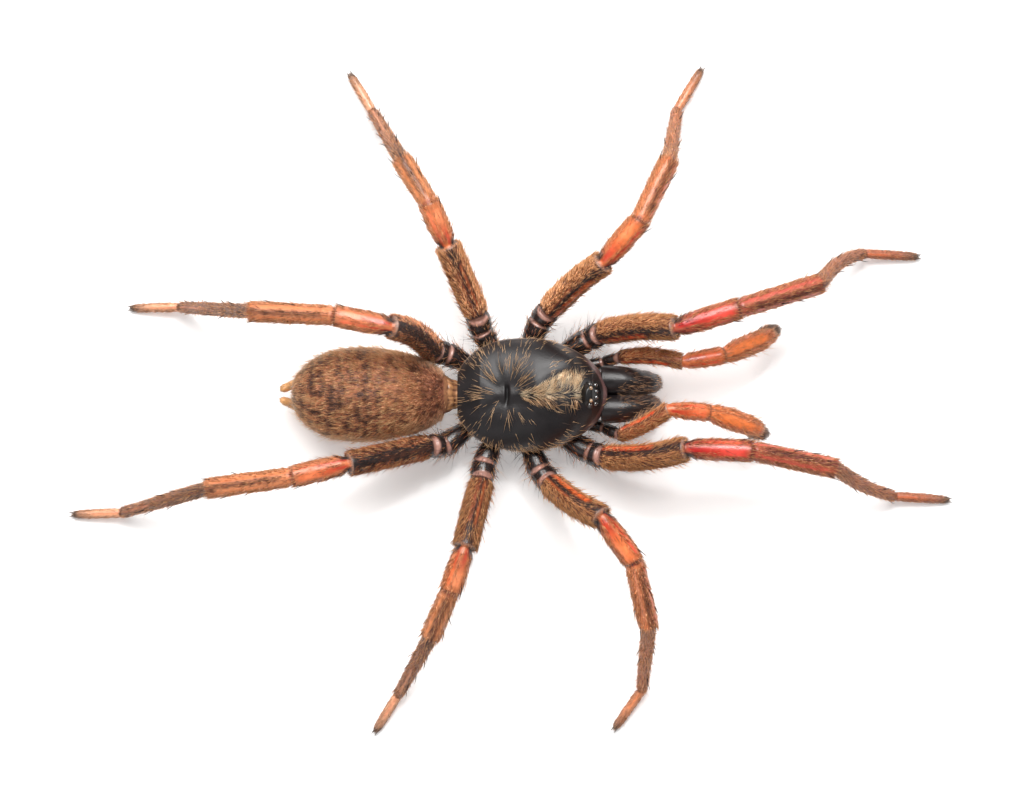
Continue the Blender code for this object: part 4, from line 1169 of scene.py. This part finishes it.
def mound_top(x, y):
    """Height of the eyes' mound."""
    cx, cy = TUBERCLE_CENTRE
    spread = np.hypot((x - cx) / TUBERCLE_HALF[0], (y - cy) / TUBERCLE_HALF[1])
    return carapace_top(x, y) + (TUBERCLE_RISE * (1 - ease(0.45, 1.08, spread)) - 0.02)


def make_eyes():
    """The black mound and the eight eyes on it, four on each side."""
    spread = np.linspace(1.08, 0.02, 28)[:, None]
    x = TUBERCLE_CENTRE[0] + TUBERCLE_HALF[0] * spread * np.cos(circle(64))
    y = TUBERCLE_CENTRE[1] + TUBERCLE_HALF[1] * spread * np.sin(circle(64))
    mound = Skin(grid_of(x, y, mound_top(x, y)), tone(9, 7, 8), 0.36)
    skin_piece("eye_mound", [mound], "shell", "eye", "eye_tubercle")
    height = np.linspace(-0.98, 0.995, 20)[:, None]
    ring = np.sqrt(1 - height**2)
    for label, (ex, ey, long_half, wide_half, finish) in EYES.items():
        for side_name, side in SIDES.items():
            x = ex + long_half * ring * np.cos(circle(28))
            y = side * ey + wide_half * ring * np.sin(circle(28))
            points = grid_of(x, y, mound_top(ex, ey) + EYE_HALF_HEIGHT * height)
            skin_piece(f"eye_{label}_{side_name}", [Skin(points, tone(20, 16, 14), 0.1)], finish, "eye")


def make_chelicera(side_name, side, rng):
    points = lofted([(x, side * offset, z, *half) for x, offset, z, *half in CHELICERA], 44, 72)
    share = share_along(points)
    grain = cloud(points, 0.4, 7)
    skin = Skin(points, tone(26, 21, 22) * (0.75 + 0.5 * grain)[..., None], 0.28 + 0.1 * grain)
    name = f"chelicera_{side_name}"
    skin_piece(name + "_shell", [skin], "shell", "shell", name)
    top = ease(-0.4, 0.4, skin.normal[..., 2])
    brush = ease(0.55, 0.9, share)
    inner = band(np.abs(points[..., 1]), 0.2, 0.3, 0.15)
    density = (16 + 170 * brush + 90 * inner) * (0.4 + 0.6 * top) * ease(0.15, 0.25, share)
    places = skin.scatter(density, rng)
    lay = skin.comb(places, 1.0, 0.0, rng, 0.2)
    aside = np.abs(skin.sample(points, places)[:, 1])
    count = len(aside)
    front = skin.sample(share, places)
    middle = band(aside, 0.75, 0.32, 0.15) * band(front, 0.45, 0.26, 0.1)
    golden = rng.random(count) < 0.14 + 0.75 * middle
    shade = np.where(golden[:, None], tone(255, 196, 146), tone(120, 98, 88))
    shade = lit(shade, rng.uniform(0.4, 1.4, count))
    length = rng.uniform(0.3, 0.55, count) * (1 + 0.3 * front)
    coat = Coat()
    coat.add(skin, places, lay, length, 0.011, rng.uniform(8, 26, count), 18, shade)
    coat.piece(name + "_coat", "shell")


def make_fang(side_name, side):
    points = lofted([(x, side * FANG_OFFSET, z, radius, radius) for x, z, radius in FANG], 20, 48)
    skin = Skin(points, paint(tone(34, 18, 16), ((12, 9, 9), share_along(points))), 0.2)
    skin_piece(f"fang_{side_name}_shell", [skin], "claw", "shell", f"fang_{side_name}")


# Abdomen


def abdomen_size(x):
    front = ABDOMEN_WIDEST + ABDOMEN_FRONT_REACH
    return np.sqrt(1 - outline_loss(x, ABDOMEN_REAR - 0.03, ABDOMEN_WIDEST, front, (2.2, 1.8)))


def abdomen_marks(points):
    """Tint of the abdomen, how dark and how bare it is: brown with rows of small dark spots, a darker
    front, a bare flank and pale lungs below."""
    x, y, z = points[..., 0], points[..., 1], points[..., 2]
    rear = ease(-5.5, -9.0, x)
    row = 0.5 + 0.5 * np.sin(2 * math.pi * x / 0.56 + 3 * cloud(points, 0.9, 32))
    spots = cloud(points, 0.27, 31) * 0.7 + 0.3 * row * rear + 0.13 * (1 - rear)
    dark = ease(0.48, 0.62, spots) * (0.45 + 0.45 * rear)
    flank = band(x, -5.4, 1.2, 0.6) * band(z, 2.6, 0.5, 0.3) * (np.abs(y) > 1.2)
    lung = band(x, -5.6, 0.7, 0.15) * band(np.abs(y), 1.0, 0.45, 0.12) * (z < 2.4)
    tint = paint(
        tone(172, 110, 77),
        ((72, 50, 41), dark),
        ((108, 62, 47), ease(-6.2, -4.6, x) * 0.7),
        ((166, 120, 88), (1 - ease(1.2, 2.2, z)) * 0.6),
        ((176, 96, 54), flank * 0.8),
        ((210, 172, 132), lung),
        ((150, 102, 70), ease(-4.0, -3.9, x)),
    )
    return tint, dark, np.maximum(flank, lung)


# Short hair and longer fine hair: hairs per square mm, radius, least and greatest lift, stretch
ABDOMEN_HAIR = ((260, 0.0155, 6, 16, 1.0), (30, 0.01, 24, 46, 1.5))


def make_abdomen(rng):
    share = dense_ends(130)[:, None]
    x = ABDOMEN_REAR + 0.08 + (ABDOMEN_FRONT - ABDOMEN_REAR - 0.08) * share
    size = abdomen_size(x) * ABDOMEN_SKIN_SHARE
    angle = degrees_round(110)[None]
    turn = np.radians(angle)
    middle = ABDOMEN_HEIGHT - ABDOMEN_REAR_SINK * (1 - ease(0.0, 0.7, share))
    middle = middle + ABDOMEN_FRONT_LIFT * ease(0.8, 1.0, share)
    y = ABDOMEN_HALF_WIDTH * size * np.sin(turn)
    z = middle + ABDOMEN_HALF_HEIGHT * size * np.cos(turn)
    points = grid_of(x, y, z)
    bumps = 0.07 * (cloud(points, 1.1, 3) - 0.5)
    points = points + unit(grid_of(0.0, y, z - middle)) * bumps[..., None]
    tint, dark, bare = abdomen_marks(points)
    skin = Skin(points, tint, 0.6)
    skin_piece("abdomen_skin", [skin], "abdomen", "abdomen", "abdomen")
    hairy = (1 - 0.97 * ease(-4.02, -3.92, points[..., 0])) * (1 - 0.7 * bare)
    hairy = hairy * (1 - 0.35 * ease(110, 150, np.abs(angle)))
    for label, side in (("left", 1), ("right", -1)):
        coat = Coat()
        for kind in ABDOMEN_HAIR:
            abdomen_hair(coat, skin, hairy * (np.sign(turn) == side), dark, kind, rng)
        coat.piece(f"abdomen_coat_{label}", "abdomen")


def abdomen_hair(coat, skin, hairy, dark, kind, rng):
    """Hair of one kind that lies towards the rear, in the colours of the marks below it."""
    density, thin, low_lift, high_lift, stretch = kind
    places = skin.scatter(density * hairy, rng)
    here = skin.sample(skin.points, places)
    count = len(here)
    front = ease(-6.8, -4.5, here[:, 0])
    lay = skin.comb(places, -1.0, 0.0, rng, 0.2)
    chance = rng.random(count) + 0.9 * skin.sample(dark, places)
    kinds = (chance[:, None] < 0.55, chance[:, None] < 1.0)
    shade = np.select(kinds, (tone(255, 194, 136), tone(222, 148, 102)), tone(72, 48, 40))
    shade = mix(shade, shade * np.array((0.5, 0.38, 0.4)), front * 0.9)
    # Streaks along the lie, thicker light locks, and painted rim light: hairs paler and lighter where the
    # skin faces sideways, along the outline
    painted_rim_light = ease(0.8, 0.15, np.abs(lay[1][:, 2]))
    shade = paint(shade, ((255, 214, 170), painted_rim_light * 0.4))
    streak = cloud(here * np.array((0.35, 1.0, 1.0)), 0.11, 19)
    light = (0.52 + 1.25 * ease(0.3, 0.7, streak)) * rng.uniform(0.75, 1.25, count)
    lock = (chance < 0.16) & (front < 0.8)
    shade = lit(shade, np.where(lock, 1.5, light + 0.8 * painted_rim_light))
    radius = np.where(lock, 1.8, 1.0) * thin
    length = rng.uniform(0.28, 0.48, count) * stretch * np.where(lock, 1.35, 1.0)
    lift = rng.uniform(low_lift, high_lift, count) + 24 * front
    coat.add(skin, places, lay, length, radius, lift, 12, shade)


def make_collar():
    """The pale creased membrane between the carapace and the abdomen."""
    steps = range(10)
    line = [(-4.35 + 0.16 * i, 0, 3.42 - 0.05 * i, 1.34 - 0.075 * i, 0.95 - 0.045 * i) for i in steps]
    points = lofted(line, 90, 70)
    warp = cloud(points, 0.5, 41)
    fold = np.sin(share_along(points) * 15 + warp * 4)
    crease = np.sin(circle(90) * 17 + warp * 6)
    centre = points.mean(axis=1, keepdims=True)
    points = points + unit(points - centre) * (0.03 * fold + 0.02 * crease)[..., None]
    # Painted shade in the troughs of the folds and creases, and painted shadow at the sides of the membrane
    painted_crease_shade = np.clip(ease(0.2, -0.9, fold) * 0.6 + ease(0.0, -1.0, crease) * 0.5, 0, 1)
    shadow = ease(0.75, 1.15, np.abs(points[..., 1])) * 0.7
    tint = paint(tone(182, 130, 88), ((92, 58, 42), painted_crease_shade), ((60, 42, 36), shadow))
    skin_piece("pedicel_skin", [Skin(points, tint, 0.3)], "pale", "pale", "pedicel")


def make_spinnerets(rng):
    """Two pairs of pale fingers with a joint in each."""
    coat = Coat()
    share = np.linspace(0, 1, 40)
    joint = band(share, 0.6, 0.02, 0.02)
    taper = np.sqrt(np.clip(1 - share**10, 0.02, 1)) * (1.04 - 0.08 * share)
    tint = paint(tone(220, 164, 106), ((170, 118, 78), joint))[:, None]
    fingers = list(itertools.product(SPINNERETS.items(), SIDES.items()))
    for part, ((name, (inner, outer, radius)), (side_name, side)) in enumerate(fingers):
        start, end = (np.array(point) * np.array((1, side, 1)) for point in (inner, outer))
        line = start + (end - start) * share[:, None]
        line[:, 1] -= side * 0.06 * share**2
        skin = tube(line, radius * (1 - 0.04 * joint) * taper, 24, tint, 0.4)
        piece = f"{name}_{side_name}"
        skin_piece(piece + "_skin", [skin], "pale", "pale", piece)
        shape = (0.011, 20, 10, 2, 0.02, (part, len(fingers)))
        coat.fuzz(skin, 110.0, rng, (1.0, 0.16), (238, 192, 142), (0.6, 1.1), (0.14, 0.28), *shape)
    coat.piece("spinneret_coat", "pale")


def make_underside():
    """Sternum plate with the body's sides above it, and the labium."""
    level = np.linspace(STERNUM_RINGS[0][0], STERNUM_RINGS[-1][0], 40)[:, None]
    spread = read(STERNUM_RINGS, level)
    x = STERNUM_CENTRE_X + STERNUM_HALF[0] * spread * np.cos(circle(80))
    y = STERNUM_HALF[1] * spread * np.sin(circle(80))
    points = grid_of(x, y, level)
    pale = ease(1.9, 2.3, points[..., 2])
    skin = Skin(points, paint(tone(76, 50, 40), ((120, 88, 76), pale)), 0.35 + 0.2 * pale)
    skin_piece("sternum_shell", [skin], "shell", "leg_dark", "sternum")
    points = lofted([(x, 0, z, *half) for x, z, *half in LABIUM], 28, 24)
    skin_piece("labium_shell", [Skin(points, tone(80, 52, 42), 0.35)], "shell", "leg_dark", "labium")


# Palps


def make_palp(side_name, side, rng):
    root = (PALP_ROOT[0], side * PALP_ROOT[1], PALP_ROOT[2])
    joints = [np.array(p, float) for p in (root, *PALP_JOINTS[side_name])]
    bows = {FEMUR: np.array((0, side * PALP_SIDE_BOW[side_name], PALP_FEMUR_BOW))}
    skin = limb_skin(joints, bows, PALP_SHAPE, side, PALP_STRIPES)
    f = skin.fields
    segment, share, angle = f["segment"], f["share"], f["angle"]
    middle = band(angle, 26, 14, 8)
    dark = (
        (segment == FEMUR) * np.maximum((1 - ease(0.0, 0.25, share)) * 0.85, 0.6 * middle),
        (segment == PATELLA) * band(share, 0.97, 0.03, 0.02) * 0.7,
        (segment == TIBIA) * band(angle, 30, 7, 5) * 0.5,
    )
    tint = limb_tint(skin, PALP_CUTICLE, 0.4, 13, np.maximum.reduce(dark))
    pale, rim = joint_marks(skin, 0.2, 0.36, 70)
    base = segment <= TROCHANTER
    rough = np.where(base, 0.28, 0.46 - 0.16 * f["bare"])
    skin.dress(paint(tint, (MEMBRANE, pale), (RIM, rim)), rough)
    nodes = [f"palp_{side_name}_{label}" for label in ("femur", "tibia")]
    skin_piece(f"palp_{side_name}_skin", [skin], "leg", "leg_orange", *nodes)
    coat = Coat()
    bare = np.maximum.reduce((f["bare"] * 0.95, 0.4 * base, pale, rim))
    gold = np.where(base, 0.3, 0.9 - 0.5 * middle * (segment == FEMUR))
    limb_hair(coat, skin, PALP_HAIR, LEG_GUARD[: len(PALP_HAIR)], bare, gold, rng)
    coat.piece(f"palp_{side_name}_coat", "leg_orange")
    make_palp_tarsus(side_name, side, joints, rng)


def make_palp_tarsus(side_name, side, joints, rng):
    """The short tarsus folded back under the tibia, with the bulb below it."""
    tip = joints[-1]
    back = unit(joints[-2] - tip)
    outward = np.array((0.0, side, 0.0))
    start = tip + outward * 0.2 - UP * 0.95
    stations = []
    for behind, out, down, *half in PALP_TARSUS:
        stations.append((*(start + back * behind + outward * out - UP * down), *half))
    points = lofted(stations, 28, 40)
    tarsus = Skin(points, tone(124, 98, 82) * (0.8 + 0.4 * cloud(points, 0.3, 17))[..., None], 0.5)
    # A short neck joins it to the tip of the tibia
    neck = tip + back * 0.2 + (start - tip) * np.linspace(0, 1.05, 8)[:, None]
    neck = tube(neck, np.full(8, 0.2), 16, tone(120, 80, 64), 0.4)
    name = f"palp_{side_name}_tarsus"
    skin_piece(name + "_skin", [tarsus, neck], "leg", "leg_foot", name)
    coat = Coat()
    coat.fuzz(tarsus, 200.0, rng, (-1.0, 0.3), (160, 130, 110), (0.5, 1.2), (0.22, 0.4), 0.015, 32, 14)
    coat.piece(name + "_coat", "leg_foot")
    run = np.linspace(0, 1, 24)[:, None]
    line = start + back * 0.45 - UP * 0.2 + (back * 0.9 - UP * 0.95) * run
    line = line + outward * 0.12 * np.sin(run * math.pi)
    run = run[:, 0]
    swell = np.sin(np.clip(run * 1.35 + 0.35, 0, math.pi)) ** 1.2
    bulb = tube(line, 0.3 * swell * (1 - run) ** 0.7 + 0.02, 20, tone(120, 50, 34), 0.2)
    skin_piece(f"palp_{side_name}_bulb", [bulb], "claw", "leg_foot")


# Stage


def make_camera():
    data = bpy.data.cameras.new("camera")
    data.sensor_width = SENSOR
    data.lens = SENSOR * (CAMERA_PLACE[2] - SHARP_LEVEL) / (PIXEL * IMAGE_WIDTH)
    data.clip_start = 0.01
    data.clip_end = 20
    camera = bpy.data.objects.new("camera", data)
    camera.location = (np.array(CAMERA_PLACE) + SHIFT) * MM
    bpy.context.scene.collection.objects.link(camera)
    bpy.context.scene.camera = camera


def area_light(name, place, size, radiance, colour=(1.0, 1.0, 1.0)):
    """A soft square panel, in mm, that faces the model."""
    data = bpy.data.lights.new(name, "AREA")
    data.size = size * MM
    data.energy = radiance * math.pi * data.size**2
    data.color = colour
    light = bpy.data.objects.new(name, data)
    light.location = np.array(place) * MM
    light.rotation_euler = (-light.location).to_track_quat("-Z", "Y").to_euler()
    bpy.context.scene.collection.objects.link(light)


def make_floor():
    """Pale paper that glows a little, which keeps the shadows pale."""
    reach = 1500
    corners = reach * np.array([(-1, -1, 0), (1, -1, 0), (1, 1, 0), (-1, 1, 0)])
    mesh = write_mesh("floor", corners - SHIFT, [np.array([(0, 1, 2, 3)])], {})
    floor = bpy.data.objects.new("floor", mesh)
    bpy.context.scene.collection.objects.link(floor)
    paper, tree, shader = new_material("floor_paper", {"Roughness": 0.9, "Specular IOR Level": 0.0})
    set_inputs(shader, {"Emission Color": (1, 1, 1, 1), "Emission Strength": 0.27})
    shade = mapped(tree, noise(tree, 2.0), {"To Min": 0.93, "To Max": 0.96})
    tree.links.new(shade, shader.inputs["Base Color"])
    mesh.materials.append(paper)


def make_studio():
    world = bpy.data.worlds.new("studio")
    bpy.context.scene.world = world
    world.use_nodes = True
    set_inputs(world.node_tree.nodes["Background"], {"Color": (1, 1, 1, 1), "Strength": 0.26})
    area_light("key", (-50, 250, 380), 340, 8.2, (1.0, 0.985, 0.97))
    area_light("spark", (62, 215, 440), 34, 150)
    area_light("fill", (-240, -280, 300), 260, 0.9)
    view = bpy.context.scene.view_settings
    view.view_transform = "Standard"
    view.look = "None"


def main():
    make_camera()
    make_floor()
    make_studio()
    rng = np.random.default_rng(SEED)
    make_carapace(rng)
    make_eyes()
    for side_name, side in SIDES.items():
        make_chelicera(side_name, side, rng)
        make_fang(side_name, side)
    make_underside()
    make_abdomen(rng)
    make_collar()
    make_spinnerets(rng)
    bristles = Coat()
    for part, leg in enumerate(KNEE_POSE):
        spines_and_bristles(bristles, make_leg(leg, rng), part, rng)
    bristles.piece("leg_spines", "leg_dark", "bristle")
    make_claws()
    for side_name, side in SIDES.items():
        make_palp(side_name, side, rng)


main()
